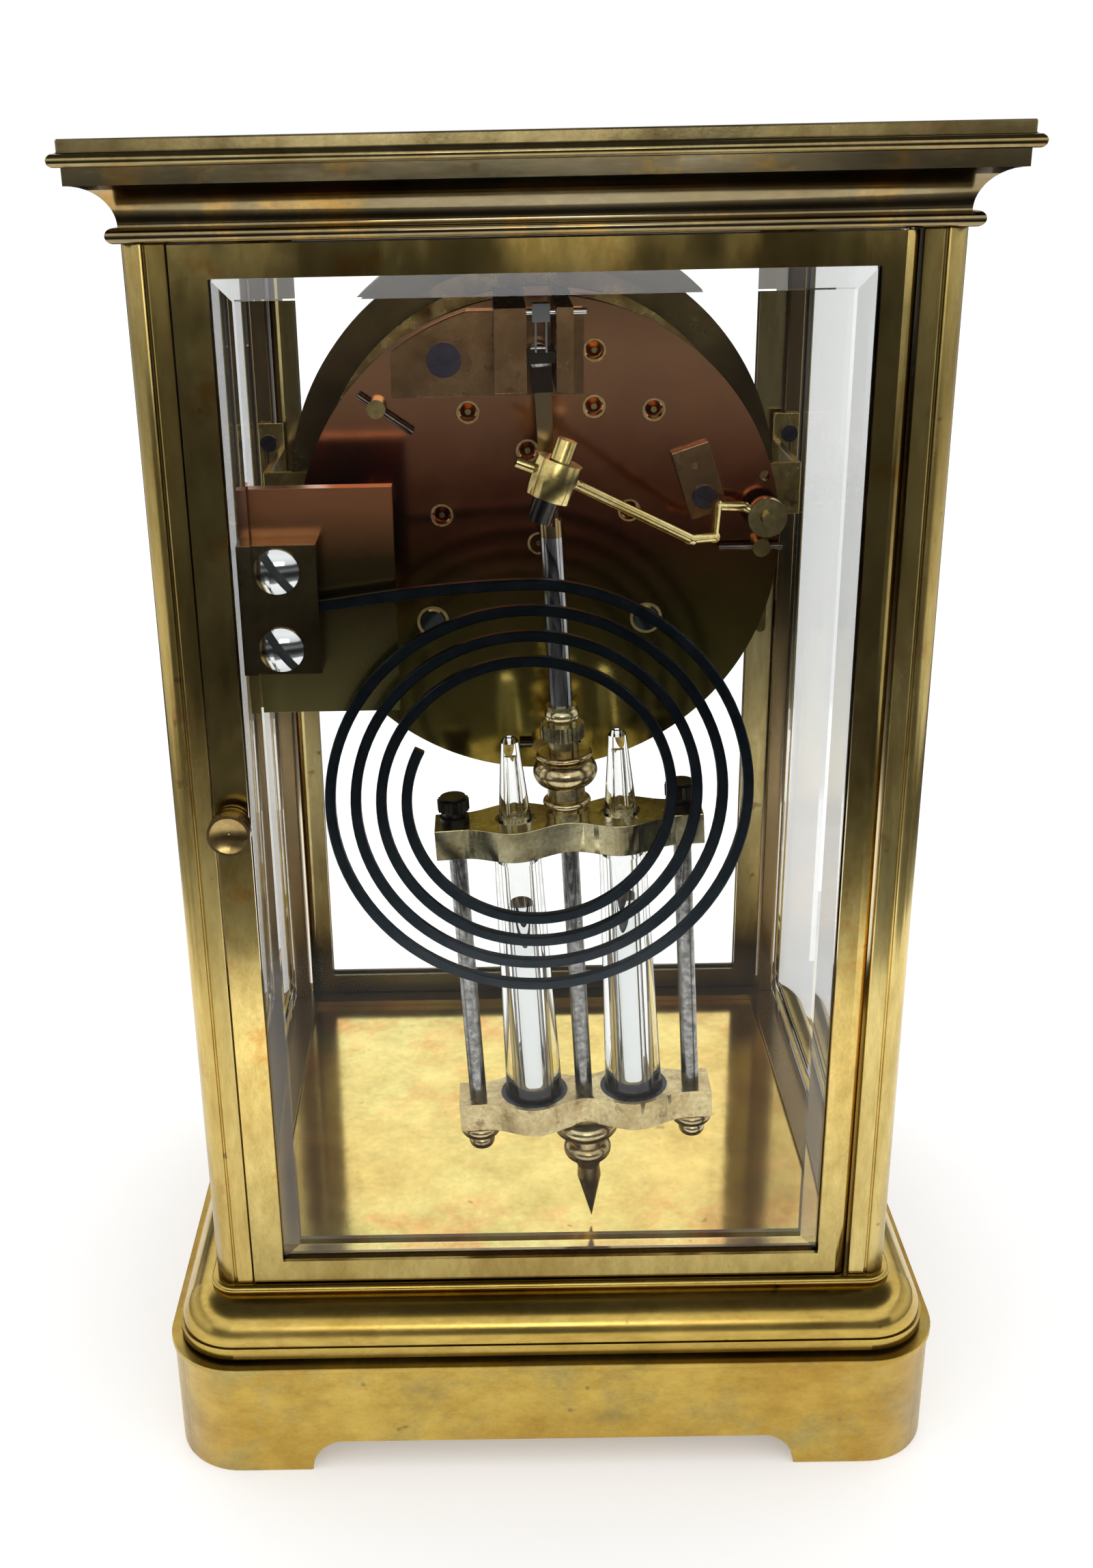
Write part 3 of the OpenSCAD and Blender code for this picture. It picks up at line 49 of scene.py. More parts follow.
class Shader:
    """A node material that is put together from small helpers."""

    def __init__(self, name):
        self.material = bpy.data.materials.new(name)
        self.material.use_nodes = True
        self.tree = self.material.node_tree
        self.bsdf = self.tree.nodes["Principled BSDF"]
        self.coord = None

    def spot(self):
        """The object's own coordinates of the place that is shaded."""
        if self.coord is None:
            self.coord = self.tree.nodes.new("ShaderNodeTexCoord")
        return self.coord.outputs["Object"]

    def node(self, kind, **inputs):
        made = self.tree.nodes.new(kind)
        for name, value in inputs.items():
            made.inputs[name.replace("_", " ")].default_value = value
        return made

    def link(self, a, b):
        self.tree.links.new(a, b)

    def place(self, scale=(1, 1, 1)):
        mapping = self.node("ShaderNodeMapping", Scale=scale)
        self.link(self.spot(), mapping.inputs["Vector"])
        return mapping.outputs["Vector"]

    def noise(self, size, detail=4, rough=0.6, scale=(1, 1, 1)):
        made = self.node("ShaderNodeTexNoise", Scale=size, Detail=detail, Roughness=rough)
        self.link(self.place(scale), made.inputs["Vector"])
        return made.outputs["Fac"]

    def ramp(self, fac, stops):
        made = self.tree.nodes.new("ShaderNodeValToRGB")
        line = made.color_ramp
        while len(line.elements) < len(stops):
            line.elements.new(0.5)
        for element, (at, value) in zip(line.elements, stops):
            element.position = at
            tone = value if isinstance(value, tuple) else (value, value, value)
            element.color = (*tone, 1)
        self.link(fac, made.inputs["Fac"])
        return made.outputs["Color"]

    def mix(self, fac, a, b, mode="MIX"):
        made = self.tree.nodes.new("ShaderNodeMix")
        made.data_type = "RGBA"
        made.blend_type = mode
        for socket, value in ((made.inputs[0], fac), (made.inputs[6], a), (made.inputs[7], b)):
            if isinstance(value, (int, float)):
                socket.default_value = value
            elif isinstance(value, tuple):
                socket.default_value = (*value, 1)
            else:
                self.link(value, socket)
        return made.outputs[2]

    def part(self, axis):
        """One of the object's own coordinates, in metres, or the distance from its upright axis."""
        kind = "ShaderNodeVectorMath" if axis == "radius" else "ShaderNodeSeparateXYZ"
        made = self.tree.nodes.new(kind)
        self.link(self.spot(), made.inputs[0])
        if axis == "radius":
            made.operation = "LENGTH"
            return made.outputs["Value"]
        return made.outputs[axis]

    def along(self, axis, stops):
        """Tones that change along an axis: stops are (metres, tone)."""
        low, high = stops[0][0], stops[-1][0]
        span = self.node("ShaderNodeMapRange", From_Min=low, From_Max=high)
        self.link(self.part(axis), span.inputs["Value"])
        return self.ramp(span.outputs["Result"], [((at - low) / (high - low), tone) for at, tone in stops])

    def near(self, centre, reach):
        """1 within a reach of a place on the object, both in mm, otherwise 0."""
        gap = self.tree.nodes.new("ShaderNodeVectorMath")
        gap.operation = "DISTANCE"
        self.link(self.spot(), gap.inputs[0])
        gap.inputs[1].default_value = tuple(c * MM for c in centre)
        return self.sum("LESS_THAN", gap.outputs["Value"], reach * MM)

    def sum(self, operation, *values):
        """One operation of a maths node on its values, which are numbers or sockets."""
        made = self.tree.nodes.new("ShaderNodeMath")
        made.operation = operation
        for socket, value in zip(made.inputs, values):
            if isinstance(value, (int, float)):
                socket.default_value = value
            else:
                self.link(value, socket)
        return made.outputs[0]

    def within(self, axis, middle, half):
        """1 where a coordinate lies within a half width of its middle, in mm, otherwise 0."""
        return self.sum("COMPARE", self.part(axis), middle * MM, half * MM)

    def both(self, a, b):
        return self.sum("MULTIPLY", a, b)

    def bump(self, fac, strength, distance):
        made = self.node("ShaderNodeBump", Strength=strength, Distance=distance)
        self.link(fac, made.inputs["Height"])
        self.link(made.outputs["Normal"], self.bsdf.inputs["Normal"])

    def set(self, **values):
        for name, value in values.items():
            socket = self.bsdf.inputs[name.replace("_", " ")]
            if hasattr(value, "is_output"):
                self.link(value, socket)
            elif isinstance(value, tuple) and len(value) == 3:
                socket.default_value = (*value, 1)
            else:
                socket.default_value = value
        return self.material


# Half width and half depth of the space between the pillars, in mm, and the painted shade tone of the
# faces that look into it
INNER_X, INNER_Y = 65.2, 57.5
INNER_SHADE_TONE = (0.32, 0.23, 0.115)
PANE_BEVEL = 5.0
BORDER_BEND, FLAT_BEND = 1.5, 1.2


def brass(name, light, dark, tarnish, rough=(0.12, 0.3), size=40, share=0.58, grain=(1, 1, 1),
          shaded=False, painted_height_light=(), spots=()):
    """Aged brass: two tones in soft clouds, tarnish in patches, small dark specks, a finish that goes from
    polished to dull and fine marks along the grain. Where asked, painted light and shade scale the tone
    with height, painted shade gives the side that looks into the case one dim tone, and there are dark
    spots."""
    s = Shader(name)
    tone = s.ramp(s.noise(size, 4, 0.55, grain), [(0.38, dark), (0.62, light)])
    patch = s.ramp(s.noise(size * 2.3, 6, 0.7), [(share, 0.0), (share + 0.14, 1.0)])
    speck = s.ramp(s.noise(260, 2, 0.5), [(0.72, 0.0), (0.78, 0.7)])
    mottle = s.ramp(s.noise(size * 6, 8, 0.8, grain), [(0.3, (0.66, 0.6, 0.5)), (0.62, (1.0, 1.0, 1.0))])
    worn = s.mix(1.0, s.mix(patch, tone, tarnish), mottle, "MULTIPLY")
    colour = s.mix(speck, worn, tuple(c * 0.45 for c in tarnish))
    finish = s.ramp(s.noise(size * 1.4, 5, 0.6, grain), [(0.36, rough[0]), (0.66, rough[1])])
    marks = s.noise(500, 5, 0.75, tuple(0.3 * g for g in grain) if min(grain) < 1 else grain)
    s.bump(marks, 0.03, 0.0002)
    # Painted light and shade: the tone is scaled with height
    if painted_height_light:
        colour = s.mix(1.0, colour, s.along("Z", painted_height_light), "MULTIPLY")
    # Painted shade: the faces that look into the case get one dark tone
    if shaded:
        inner = s.both(s.within("X", 0, INNER_X), s.within("Y", 0, INNER_Y))
        colour = s.mix(inner, colour, INNER_SHADE_TONE)
    for centre, reach, spot in spots:
        colour = s.mix(s.near(centre, reach), colour, spot)
    return s.set(Base_Color=colour, Metallic=1.0, Roughness=finish)


def metal(name, colour, rough=0.2, mottle=0.0, size=300):
    s = Shader(name)
    tone = s.ramp(s.noise(size, 5, 0.65),
                  [(0.35, tuple(c * (1 - mottle) for c in colour)), (0.65, colour)])
    return s.set(Base_Color=tone, Metallic=1.0, Roughness=rough)


def glass(name, colour=(0.985, 0.995, 0.99)):
    s = Shader(name)
    return s.set(Base_Color=colour, Roughness=0.0, IOR=BORDER_BEND, Transmission_Weight=1.0)


def bevelled_pane(name, node, across):
    """A pane's glass: its bevelled border bends and mirrors more than the flat middle."""
    s = Shader(name)
    low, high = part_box(node)
    reach = high.x if across == "X" else high.y
    flat = s.both(s.within(across, 0, reach / MM - PANE_BEVEL),
                  s.within("Z", (low.z + high.z) / 2 / MM, (high.z - low.z) / 2 / MM - PANE_BEVEL))
    bend = s.sum("MULTIPLY_ADD", flat, FLAT_BEND - BORDER_BEND, BORDER_BEND)
    return s.set(Base_Color=(0.985, 0.995, 0.99), Roughness=0.0, IOR=bend, Transmission_Weight=1.0)


def plain(name, colour, rough):
    return Shader(name).set(Base_Color=colour, Roughness=rough)


def plate_brass(name, light, dark, rough):
    """A movement plate, with painted reflection: coppery red above, dark olive below."""
    s = Shader(name)
    cloud = s.noise(45, 5, 0.6)
    rise = s.ramp(s.mix(0.28, s.along("Z", [(0.145, 0.0), (0.2, 1.0)]), cloud), [(0.32, 0.0), (0.56, 1.0)])
    low = s.ramp(cloud, [(0.35, (0.4, 0.3, 0.07)), (0.65, (0.6, 0.48, 0.13))])
    red = s.ramp(s.noise(90, 5, 0.7), [(0.35, dark), (0.65, light)])
    high = s.mix(s.along("Z", [(0.188, 0.0), (0.212, 0.8)]), red, (0.85, 0.46, 0.24))
    return s.set(Base_Color=s.mix(rise, low, high), Metallic=1.0, Roughness=rough)


def gong_plate_brass():
    """The gong's plate, with painted reflection: coppery red along its top, nearly black below that, olive
    at its foot.
    """
    s = Shader("gong_brass")
    low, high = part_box("gong_plate")
    tall = high.z - low.z
    foot = s.along("Z", [(low.z, 1.0), (low.z + 0.5 * tall, 0.0)])
    climb = s.along("Z", [(low.z + 0.52 * tall, 0.0), (high.z, 1.0)])
    cloud = s.noise(45, 5, 0.6)
    red = s.ramp(s.mix(0.25, climb, cloud), [(0.34, 0.0), (0.75, 1.0)])
    shade = s.mix(foot, (0.16, 0.11, 0.04), (0.8, 0.68, 0.25))
    return s.set(Base_Color=s.mix(red, shade, (0.85, 0.35, 0.15)), Metallic=1.0, Roughness=0.2)


def rod_finish(strap_low, shade_block_low):
    """The pendulum's rod: bright steel, with a brass strap above and a dark block of painted shade at its
    top.
    """
    s = Shader("rod_steel")
    streak = s.noise(700, 5, 0.7, (1, 1, 0.12))
    steel = s.ramp(streak, [(0.35, (0.3, 0.3, 0.3)), (0.62, (0.72, 0.72, 0.72))])
    strap = s.mix(s.sum("GREATER_THAN", s.part("Z"), strap_low * MM), steel, (0.42, 0.3, 0.15))
    # Painted shade: the block at the top of the rod is nearly black
    colour = s.mix(s.sum("GREATER_THAN", s.part("Z"), shade_block_low * MM), strap, (0.09, 0.06, 0.045))
    return s.set(Base_Color=colour, Metallic=1.0, Roughness=0.16)


# Painted light and shade by height, as (metres, share of the tone)
DOOR_PAINTED_LIGHT = [(0.035, 0.6), (0.05, 0.82), (0.09, 1.45), (0.11, 1.25), (0.13, 1.1), (0.17, 0.8),
             (0.2, 0.36), (0.222, 0.4), (0.235, 1.0)]
# Painted shade: the front door frame darker towards its foot
FRONT_PAINTED_SHADE = [(0.035, 0.22), (0.05, 0.26), (0.058, 1.0)]
PILLAR_PAINTED_LIGHT = [(0.035, 0.86), (0.1, 1.05), (0.15, 1.25), (0.18, 0.9), (0.21, 0.6), (0.235, 0.7)]
# Directions of the grain
UPRIGHT = (1, 1, 0.2)
LEVEL = (0.3, 0.3, 1)
# Dark spots: centre and reach in mm, tone
HAMMER_TIP = ((0.2, 50, 189.4), 3.1, (0.05, 0.045, 0.04))
SEAT_REACH, SEAT_TONE = 6.7, (0.05, 0.055, 0.055)
VIAL_SEATS = [((2.3, 40, 68.6), SEAT_REACH, SEAT_TONE), ((-17.7, 40, 69.6), SEAT_REACH, SEAT_TONE)]
pillar_brass = brass("pillar_brass", (0.82, 0.67, 0.27), (0.66, 0.49, 0.16), (0.6, 0.34, 0.13),
                     (0.12, 0.3), 45, 0.6, UPRIGHT, True, PILLAR_PAINTED_LIGHT)
door_brass = brass("door_brass", (0.74, 0.58, 0.21), (0.58, 0.42, 0.13), (0.66, 0.35, 0.08),
                   (0.09, 0.24), 40, 0.57, (1, 1, 0.45), True, DOOR_PAINTED_LIGHT)
# Painted shade: the cornice gets a darker copy of the case's brass
cornice_shade_brass = brass("cornice_shade_brass", (0.38, 0.32, 0.19), (0.31, 0.24, 0.12), (0.6, 0.38, 0.12),
                      (0.08, 0.2), 32, 0.52, LEVEL)
base_brass = brass("base_brass", (0.76, 0.57, 0.17), (0.56, 0.39, 0.09), (0.5, 0.3, 0.08),
                   (0.14, 0.28), 40, 0.6, LEVEL, shaded=True)
plinth_brass = brass("plinth_brass", (0.68, 0.48, 0.11), (0.5, 0.3, 0.055), (0.5, 0.385, 0.125),
                     (0.26, 0.42), 24, 0.5, (0.6, 0.6, 1))
floor_brass = brass("floor_brass", (1.0, 0.88, 0.33), (1.0, 0.74, 0.24), (1.0, 0.58, 0.2),
                    (0.07, 0.16), 13, 0.5)
back_brass = plate_brass("back_brass", (0.42, 0.14, 0.055), (0.27, 0.075, 0.03), 0.13)
gong_brass = gong_plate_brass()
block_brass = brass("block_brass", (0.27, 0.21, 0.1), (0.22, 0.165, 0.075), (0.19, 0.13, 0.06),
                    (0.16, 0.24), 60)
# Painted shade: the dial pan, seen behind the movement, gets a dark brass tone
pan_shade_brass = brass("pan_shade_brass", (0.24, 0.18, 0.085), (0.2, 0.145, 0.065), (0.17, 0.115, 0.055),
                  (0.2, 0.3), 30)
cock_brass = brass("cock_brass", (0.4, 0.24, 0.12), (0.36, 0.21, 0.1), (0.33, 0.18, 0.085),
                   (0.2, 0.3), 50)
bush_brass = brass("bush_brass", (1.0, 0.82, 0.42), (0.9, 0.7, 0.32), (0.7, 0.5, 0.2),
                   (0.25, 0.35), 120, 0.66)
knob_brass = brass("knob_brass", (0.52, 0.39, 0.17), (0.42, 0.29, 0.11), (0.36, 0.22, 0.09),
                   (0.16, 0.26), 90)
# Painted light: the front door frame gets a lighter copy of the door brass
front_lit_brass = brass("front_lit_brass", (0.8, 0.68, 0.34), (0.64, 0.52, 0.23), (0.6, 0.4, 0.15),
                    (0.14, 0.28), 40, 0.58, UPRIGHT, painted_height_light=FRONT_PAINTED_SHADE)
top_brass = brass("top_brass", (0.45, 0.37, 0.18), (0.36, 0.28, 0.12), (0.42, 0.25, 0.1),
                  (0.1, 0.24), 35, 0.56)
wheel_brass = brass("wheel_brass", (0.78, 0.6, 0.26), (0.68, 0.5, 0.19), (0.5, 0.34, 0.12),
                    (0.16, 0.3), 120, 0.62)
hammer_brass = brass("hammer_brass", (0.85, 0.7, 0.32), (0.74, 0.58, 0.22), (0.6, 0.44, 0.17),
                     (0.14, 0.26), 120, 0.62, spots=[HAMMER_TIP])
bob_brass = brass("bob_brass", (0.9, 0.83, 0.53), (0.74, 0.64, 0.36), (0.48, 0.33, 0.18),
                  (0.14, 0.3), 150, 0.57)
foot_brass = brass("foot_brass", (0.78, 0.66, 0.37), (0.6, 0.47, 0.24), (0.38, 0.24, 0.13),
                   (0.14, 0.3), 150, 0.54, spots=VIAL_SEATS)
# Black knurled thumbscrews, and painted shade on the suspension slider so that it reads as a shadowed gap
black_and_shade_brass = brass("black_and_shade_brass", (0.07, 0.06, 0.045), (0.045, 0.04, 0.03), (0.03, 0.03, 0.025),
                   (0.3, 0.4), 200)
bright_steel = metal("bright_steel", (0.78, 0.79, 0.8), 0.08)
rod_steel = rod_finish(182.4, 207.6)
dull_steel = metal("dull_steel", (0.42, 0.41, 0.39), 0.24, 0.65, 700)
pin_steel = metal("pin_steel", (0.16, 0.13, 0.11), 0.25, 0.4)
blued_steel = metal("blued_steel", (0.11, 0.095, 0.125), 0.3, 0.3)
gong_steel = metal("gong_steel", (0.03, 0.04, 0.05), 0.3, 0.3)
mirror_mercury = metal("mirror_mercury", (0.74, 0.75, 0.75), 0.03)
pane_glass = bevelled_pane("pane_glass", "rear_glass", "X")
side_glass = bevelled_pane("side_glass", "side_glasses", "Y")
vial_glass = glass("vial_glass", (0.99, 0.995, 0.99))
enamel = plain("enamel", (0.9, 0.89, 0.86), 0.12)
numeral_black = plain("numeral_black", (0.02, 0.02, 0.025), 0.3)

PAINT = {
    pillar_brass: "pillars",
    door_brass: "rear_door_frame",
    knob_brass: "rear_latch front_latch",
    front_lit_brass: "front_door_frame",
    cornice_shade_brass: "cornice",
    top_brass: "top_plate",
    base_brass: "base_moulding",
    plinth_brass: "plinth",
    floor_brass: "floor_plate",
    back_brass: "back_plate",
    gong_brass: "gong_plate",
    pan_shade_brass: "dial_pan",
    cock_brass: "back_cock strike_bridge",
    block_brass: "gong_block",
    wheel_brass: "movement_brackets front_plate plate_pillars "
                 "centre_wheel intermediate_wheel going_barrel third_wheel escape_wheel minute_wheel "
                 "hour_wheel strike_barrel strike_wheel pin_wheel locking_wheel warning_wheel fly",
    hammer_brass: "hammer",
    bob_brass: "rating_nut bob_top_bar",
    foot_brass: "bob_vase bob_bottom_bar bob_nuts bob_finial",
    black_and_shade_brass: "bob_thumbscrews suspension_slider",
    bright_steel: "gong_screws suspension_spring hinge_pins going_arbor strike_arbor pallets",
    rod_steel: "pendulum_rod",
    dull_steel: "bob_rods",
    pin_steel: "taper_pins",
    blued_steel: "blued_screws hour_hand minute_hand",
    gong_steel: "gong",
    mirror_mercury: "mercury",
    pane_glass: "rear_glass front_glass",
    side_glass: "side_glasses",
    vial_glass: "mercury_vials",
    enamel: "dial",
}
for material, names in PAINT.items():
    for name in names.split():
        mesh = NODES[name].data
        mesh.materials.clear()
        mesh.materials.append(material)


# Pieces that stand for a plainer CAD form

def show(name, mesh, body, material):
    """Adds a visible piece of the clock that rides on a body."""
    shown = bpy.data.objects.new(name, mesh)
    mesh.materials.append(material)
    SCENE.collection.objects.link(shown)
    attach(shown, body)
    return shown


WIRE_R, GONG_R = 1.1, 40.0
WIRE_SECTION = [(0.95, 0.6), (0.75, 0.8), (-0.75, 0.8), (-0.95, 0.6),
                (-0.95, -0.6), (-0.75, -0.8), (0.75, -0.8), (0.95, -0.6)]


def gong_path():
    """Points of the gong's wire: straight out of its block, over to the top of the spiral, then inward."""
    low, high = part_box("gong")
    middle = Vector((2.4, (low.y + high.y) / 2 / MM, high.z / MM - WIRE_R - GONG_R))
    outer, pitch, turns, per_turn = GONG_R, 4.6, 3.83, 96
    lead_in = high.x / MM
    lead_from, lead_drop, lead_steps = lead_in - 5.5, 3.2, 24
    path = [Vector((lead_in, middle.y, middle.z + outer - lead_drop))]
    for i in range(lead_steps):
        f = i / lead_steps
        rise = lead_drop * (math.sin(math.pi / 2 * f) - 1)
        path.append(Vector((lead_from + (middle.x - lead_from) * f, middle.y, middle.z + outer + rise)))
    for i in range(int(per_turn * turns) + 1):
        turn = i / per_turn
        r = outer - pitch * turn
        a = math.pi / 2 - 2 * math.pi * turn
        path.append(Vector((middle.x - r * math.cos(a), middle.y, middle.z + r * math.sin(a))))
    return path


def swept(name, path, section):
    """A wire of one section along a flat path that lies in X and Z: section is (across, along Y) in mm."""
    points, faces = [], []
    last, sides = len(path) - 1, len(section)
    for i, here in enumerate(path):
        heading = (path[min(i + 1, last)] - path[max(i - 1, 0)]).normalized()
        across = Vector((heading.z, 0, -heading.x))
        points += [(here + a * across + Vector((0, y, 0))) * MM for a, y in section]
    for i in range(last):
        for k in range(sides):
            n = (k + 1) % sides
            faces.append((i * sides + k, i * sides + n, (i + 1) * sides + n, (i + 1) * sides + k))
    faces.append(tuple(reversed(range(sides))))
    faces.append(tuple(last * sides + k for k in range(sides)))
    mesh = bpy.data.meshes.new(name)
    mesh.from_pydata(points, [], faces)
    mesh.validate()
    return mesh


wire_mesh = swept("gong_wire", gong_path(), WIRE_SECTION)
gong_wire = show("gong_wire", wire_mesh, "case", gong_steel)
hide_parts("gong")


# Figures and minute track on the dial

DIAL_PROUD = 0.06
dial_low, dial_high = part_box("dial")
DIAL_CENTRE = Vector((0, dial_low.y / MM - DIAL_PROUD, (dial_low.z + dial_high.z) / 2 / MM))


def on_dial(radius, angle):
    """A place on the dial, clockwise from the top as its owner sees it."""
    return DIAL_CENTRE + Vector((radius * math.sin(angle), 0, radius * math.cos(angle)))


def figure(hour, radius, size, thick):
    """One plain number of the dial, as a thin solid."""
    data = bpy.data.curves.new("figure", "FONT")
    data.body = str(hour)
    data.size = size * MM
    data.align_x = "CENTER"
    data.align_y = "CENTER"
    data.extrude = thick * MM
    text = bpy.data.objects.new("figure", data)
    SCENE.collection.objects.link(text)
    mesh = bpy.data.meshes.new_from_object(text.evaluated_get(bpy.context.evaluated_depsgraph_get()))
    mesh.transform(Matrix.Translation(on_dial(radius, math.radians(30 * hour)) * MM)
                   @ Matrix.Rotation(math.radians(90), 4, "X"))
    bpy.data.objects.remove(text)
    bpy.data.curves.remove(data)
    show("figure_%d" % hour, mesh, "case", numeral_black)


def minute_track(inner, outer, thin, wide, thick):
    """Sixty minute marks between two circles, every fifth one wider."""
    points, faces = [], []
    for minute in range(60):
        half = (wide if minute % 5 == 0 else thin) / 2
        a = math.radians(6 * minute)
        side = Vector((math.cos(a), 0, -math.sin(a))) * half
        near, far = on_dial(inner, a), on_dial(outer, a)
        first = len(points)
        points += [(p * MM) for p in (near - side, near + side, far + side, far - side)]
        faces.append((first, first + 1, first + 2, first + 3))
    steps = 180
    for radius in (inner, outer):
        first = len(points)
        for i in range(steps):
            a = 2 * math.pi * i / steps
            points += [on_dial(radius - thin / 2, a) * MM, on_dial(radius + thin / 2, a) * MM]
        for i in range(steps):
            b = first + 2 * i
            c = first + 2 * ((i + 1) % steps)
            faces.append((b, c, c + 1, b + 1))
    mesh = bpy.data.meshes.new("minute_track")
    mesh.from_pydata(points, [], faces)
    track = show("minute_track", mesh, "case", numeral_black)
    paint = track.modifiers.new("paint", "SOLIDIFY")
    paint.thickness = thick * MM
    paint.offset = -1


FIGURE_R, FIGURE_SIZE, FIGURE_THICK = 35.5, 11, 0.02
TRACK_INNER, TRACK_OUTER, THIN_MARK, WIDE_MARK, MARK_THICK = 43.5, 46.5, 0.25, 0.8, 0.05
for hour in range(1, 13):
    figure(hour, FIGURE_R, FIGURE_SIZE, FIGURE_THICK)
minute_track(TRACK_INNER, TRACK_OUTER, THIN_MARK, WIDE_MARK, MARK_THICK)


# Turned brass bushes round the pivots in the back plate

BUSH_PROUD, BUSH_SUNK = 0.12, 0.05
FINE_BUSH, BARREL_BUSH = (1.75, 2.2), (2.5, 3.1)
BUSHES = [((18.2, 5.7), FINE_BUSH), ((2, 17.5), FINE_BUSH), ((12.9, 24.8), FINE_BUSH),
          ((-17, 6), FINE_BUSH), ((-21.3, 24.6), FINE_BUSH), ((-10.3, 25.4), FINE_BUSH),
          ((-10.3, 35.5), FINE_BUSH), ((0, 0), FINE_BUSH),
          ((20.5, -15), BARREL_BUSH), ((-20.5, -15), BARREL_BUSH)]


def bush_rings(proud, sunk, steps=40):
    """Thin raised rings, with a sloped outer edge, sunk a little into the rear face of the back plate."""
    face_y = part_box("back_plate")[1].y / MM
    points, faces = [], []
    for (x, z), (inner, outer) in BUSHES:
        section = [(inner, -sunk), (inner, proud), (outer - proud, proud), (outer, -sunk)]
        corners = len(section)
        first = len(points)
        for i in range(steps):
            a = 2 * math.pi * i / steps
            points += [Vector((x + radius * math.cos(a), face_y + lift,
                               DIAL_CENTRE.z + z + radius * math.sin(a))) * MM for radius, lift in section]
        for i in range(steps):
            here = first + corners * i
            there = first + corners * ((i + 1) % steps)
            for k in range(corners):
                n = (k + 1) % corners
                faces.append((here + k, there + k, there + n, here + n))
    mesh = bpy.data.meshes.new("bush_rings")
    mesh.from_pydata(points, [], faces)
    show("bush_rings", mesh, "case", bush_brass)


bush_rings(BUSH_PROUD, BUSH_SUNK)


# Softened edges

SOFT_EDGES = {
    0.25: "plinth base_moulding pillars cornice top_plate rear_door_frame front_door_frame "
          "gong_plate gong_block",
    0.12: "movement_brackets back_cock bob_top_bar bob_bottom_bar hammer strike_bridge",
}


def soften(name, width):
    """Rounds a piece's sharp edges a little, so that they catch the light."""
    piece = NODES[name]
    weld = piece.modifiers.new("weld", "WELD")
    weld.merge_threshold = 0.002 * MM
    edge = piece.modifiers.new("edge", "BEVEL")
    edge.width = width * MM
    edge.segments = 2
    edge.limit_method = "ANGLE"
    edge.angle_limit = math.radians(40)
    edge.harden_normals = False


for width, names in SOFT_EDGES.items():
    for name in names.split():
        soften(name, width)


# Stage, light and camera

def sheet(name, corners, material):
    """A flat piece of the studio, which isn't part of the clock."""
    mesh = bpy.data.meshes.new(name)
    mesh.from_pydata(corners, [], [(0, 1, 2, 3)])
    mesh.materials.append(material)
    made = bpy.data.objects.new(name, mesh)
    SCENE.collection.objects.link(made)
    return made


def ring(name, low, high, material, steps=64):
    """A ring of the room between two circles, each given as (radius, height) in metres."""
    points, faces = [], []
    for i in range(steps):
        a = 2 * math.pi * i / steps
        points += [(r * math.cos(a), r * math.sin(a), z) for r, z in (low, high)]
        n = 2 * ((i + 1) % steps)
        faces.append((2 * i, n, n + 1, 2 * i + 1))
    mesh = bpy.data.meshes.new(name)
    mesh.from_pydata(points, [], faces)
    mesh.materials.append(material)
    made = bpy.data.objects.new(name, mesh)
    SCENE.collection.objects.link(made)
    return reflected(made)


def reflected(made):
    """Keeps a piece of the room out of sight: it shows only in what reflects it."""
    made.visible_camera = False
    made.visible_diffuse = False
    made.visible_shadow = False
    return made


TWICE_SEEN = 0.4


def room_tone(name, axis, stops):
    """A surface of the room with tones along an axis, clear to a look through the glass and dimmer in the
    reflection of a reflection."""
    s = Shader(name)
    glow = s.tree.nodes.new("ShaderNodeEmission")
    s.link(s.along(axis, stops), glow.inputs["Color"])
    clear = s.tree.nodes.new("ShaderNodeBsdfTransparent")
    path = s.tree.nodes.new("ShaderNodeLightPath")
    seen = s.sum("GREATER_THAN", path.outputs["Glossy Depth"], 0.5)
    again = s.sum("GREATER_THAN", path.outputs["Glossy Depth"], 1.5)
    s.link(s.sum("MULTIPLY_ADD", again, TWICE_SEEN - 1.0, 1.0), glow.inputs["Strength"])
    both = s.tree.nodes.new("ShaderNodeMixShader")
    s.link(seen, both.inputs[0])
    s.link(clear.outputs[0], both.inputs[1])
    s.link(glow.outputs[0], both.inputs[2])
    s.link(both.outputs[0], s.tree.nodes["Material Output"].inputs["Surface"])
    s.material.cycles.emission_sampling = "NONE"
    return s.material


def room_light(strength):
    world = bpy.data.worlds.new("room")
    SCENE.world = world
    world.use_nodes = True
    back = world.node_tree.nodes["Background"]
    back.inputs["Color"].default_value = (1, 1, 1, 1)
    back.inputs["Strength"].default_value = strength


WIDE = 6.0
floor_white = plain("studio_floor", (0.97, 0.97, 0.97), 0.9)
floor_bsdf = floor_white.node_tree.nodes["Principled BSDF"]
floor_bsdf.inputs["Emission Color"].default_value = (1, 1, 1, 1)
floor_bsdf.inputs["Emission Strength"].default_value = 0.25
sheet("studio_floor", [(-WIDE, -WIDE, 0), (WIDE, -WIDE, 0), (WIDE, WIDE, 0), (-WIDE, WIDE, 0)],
      floor_white)
TABLE_R, ROOM_R, ROOM_H = 0.27, 0.95, 1.3
ring("room_floor", (TABLE_R, MM), (ROOM_R, MM), room_tone("room_floor", "radius", [
    (TABLE_R, 0.95), (0.285, 0.3), (0.31, 0.2), (0.34, 0.15), (0.4, 0.06), (0.5, 0.02), (0.8, 0.03),
    (ROOM_R, 0.1)]))
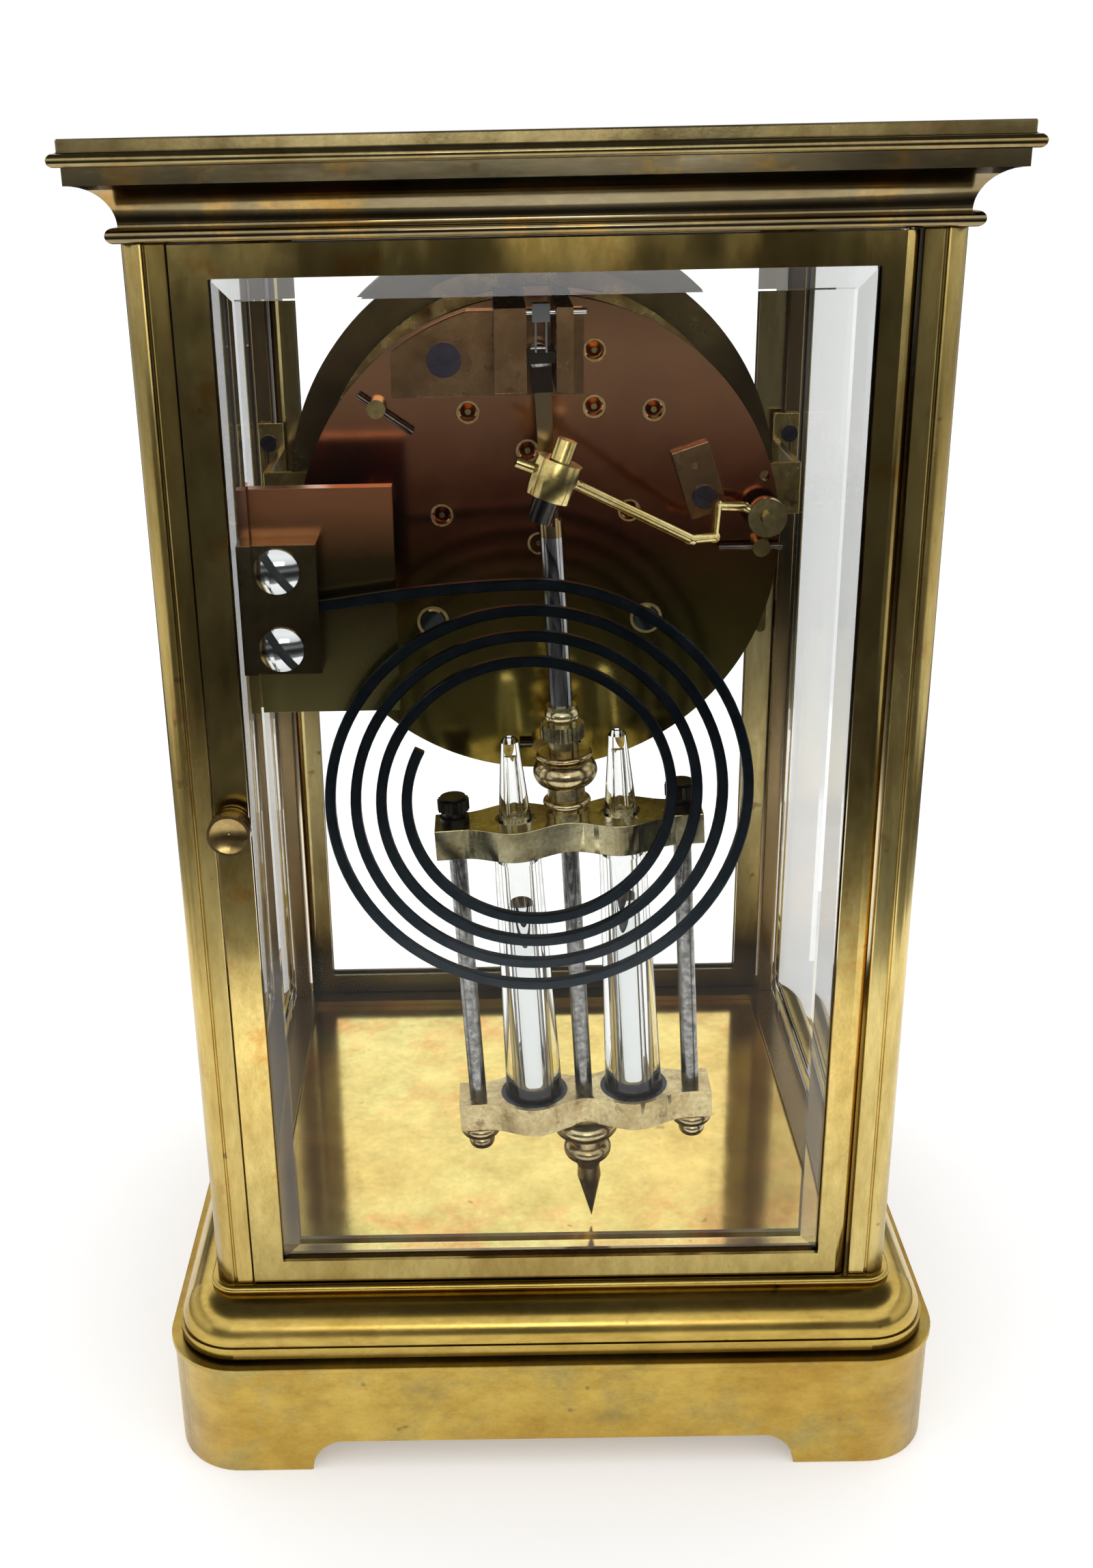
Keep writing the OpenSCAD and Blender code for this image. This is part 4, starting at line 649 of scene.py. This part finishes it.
ring("room_wall", (ROOM_R, 0), (ROOM_R, ROOM_H), room_tone("room_wall", "Z", [
    (0, 0.1), (0.05, 0.17), (0.1, 0.16), (0.15, 0.055), (0.2, 0.05), (0.24, 0.1), (0.3, 0.8), (0.6, 1.1),
    (0.95, 1.0), (1.0, 0.15), (ROOM_H, 0.08)]))
ring("room_ceiling", (ROOM_R, ROOM_H), (0.01, ROOM_H),
     room_tone("room_ceiling", "radius", [(0, 0.06), (2, 0.06)]))
SIDE_X, SIDE_HIGH, SIDE_NEAR, SIDE_FAR = 0.5, 0.3, 0.45, -0.45
side_tone = room_tone("side_glow", "Z", [(0, 0.5), (0.12, 0.85), (SIDE_HIGH, 0.4)])
for x in (-SIDE_X, SIDE_X):
    reflected(sheet("side_glow", [(x, SIDE_NEAR, 0), (x, SIDE_FAR, 0), (x, SIDE_FAR, SIDE_HIGH),
                                  (x, SIDE_NEAR, SIDE_HIGH)], side_tone))
LAMP_Y, LAMP_LOW, LAMP_HIGH, LAMP_HALF = 0.93, 0.27, 0.4, 0.35
reflected(sheet("lamp", [(LAMP_HALF, LAMP_Y, LAMP_LOW), (-LAMP_HALF, LAMP_Y, LAMP_LOW),
                         (-LAMP_HALF, LAMP_Y, LAMP_HIGH), (LAMP_HALF, LAMP_Y, LAMP_HIGH)],
                room_tone("lamp", "Z", [(LAMP_LOW, 3.5), (LAMP_HIGH, 5.0)])))
room_light(1.02)

camera_data = bpy.data.cameras.new("camera")
camera_data.sensor_fit = "VERTICAL"
camera_data.sensor_height = 36
camera_data.lens = 37.61
camera_data.shift_x = 0.0408
camera_data.shift_y = -0.0116
camera_data.clip_start = 0.01
camera = bpy.data.objects.new("camera", camera_data)
SCENE.collection.objects.link(camera)
camera.location = Vector((9.18, 325.72, 249.89)) * MM
look = Vector((0.0073, -0.932, -0.3624)).to_track_quat("-Z", "Y")
camera.rotation_euler = (look @ Quaternion((0, 0, 1), math.radians(-1.206))).to_euler()
SCENE.camera = camera

SCENE.view_settings.view_transform = "Standard"
SCENE.cycles.max_bounces = 24
SCENE.cycles.transmission_bounces = 24
SCENE.cycles.glossy_bounces = 10
SCENE.cycles.transparent_max_bounces = 16
SCENE.cycles.caustics_reflective = True
SCENE.cycles.caustics_refractive = True
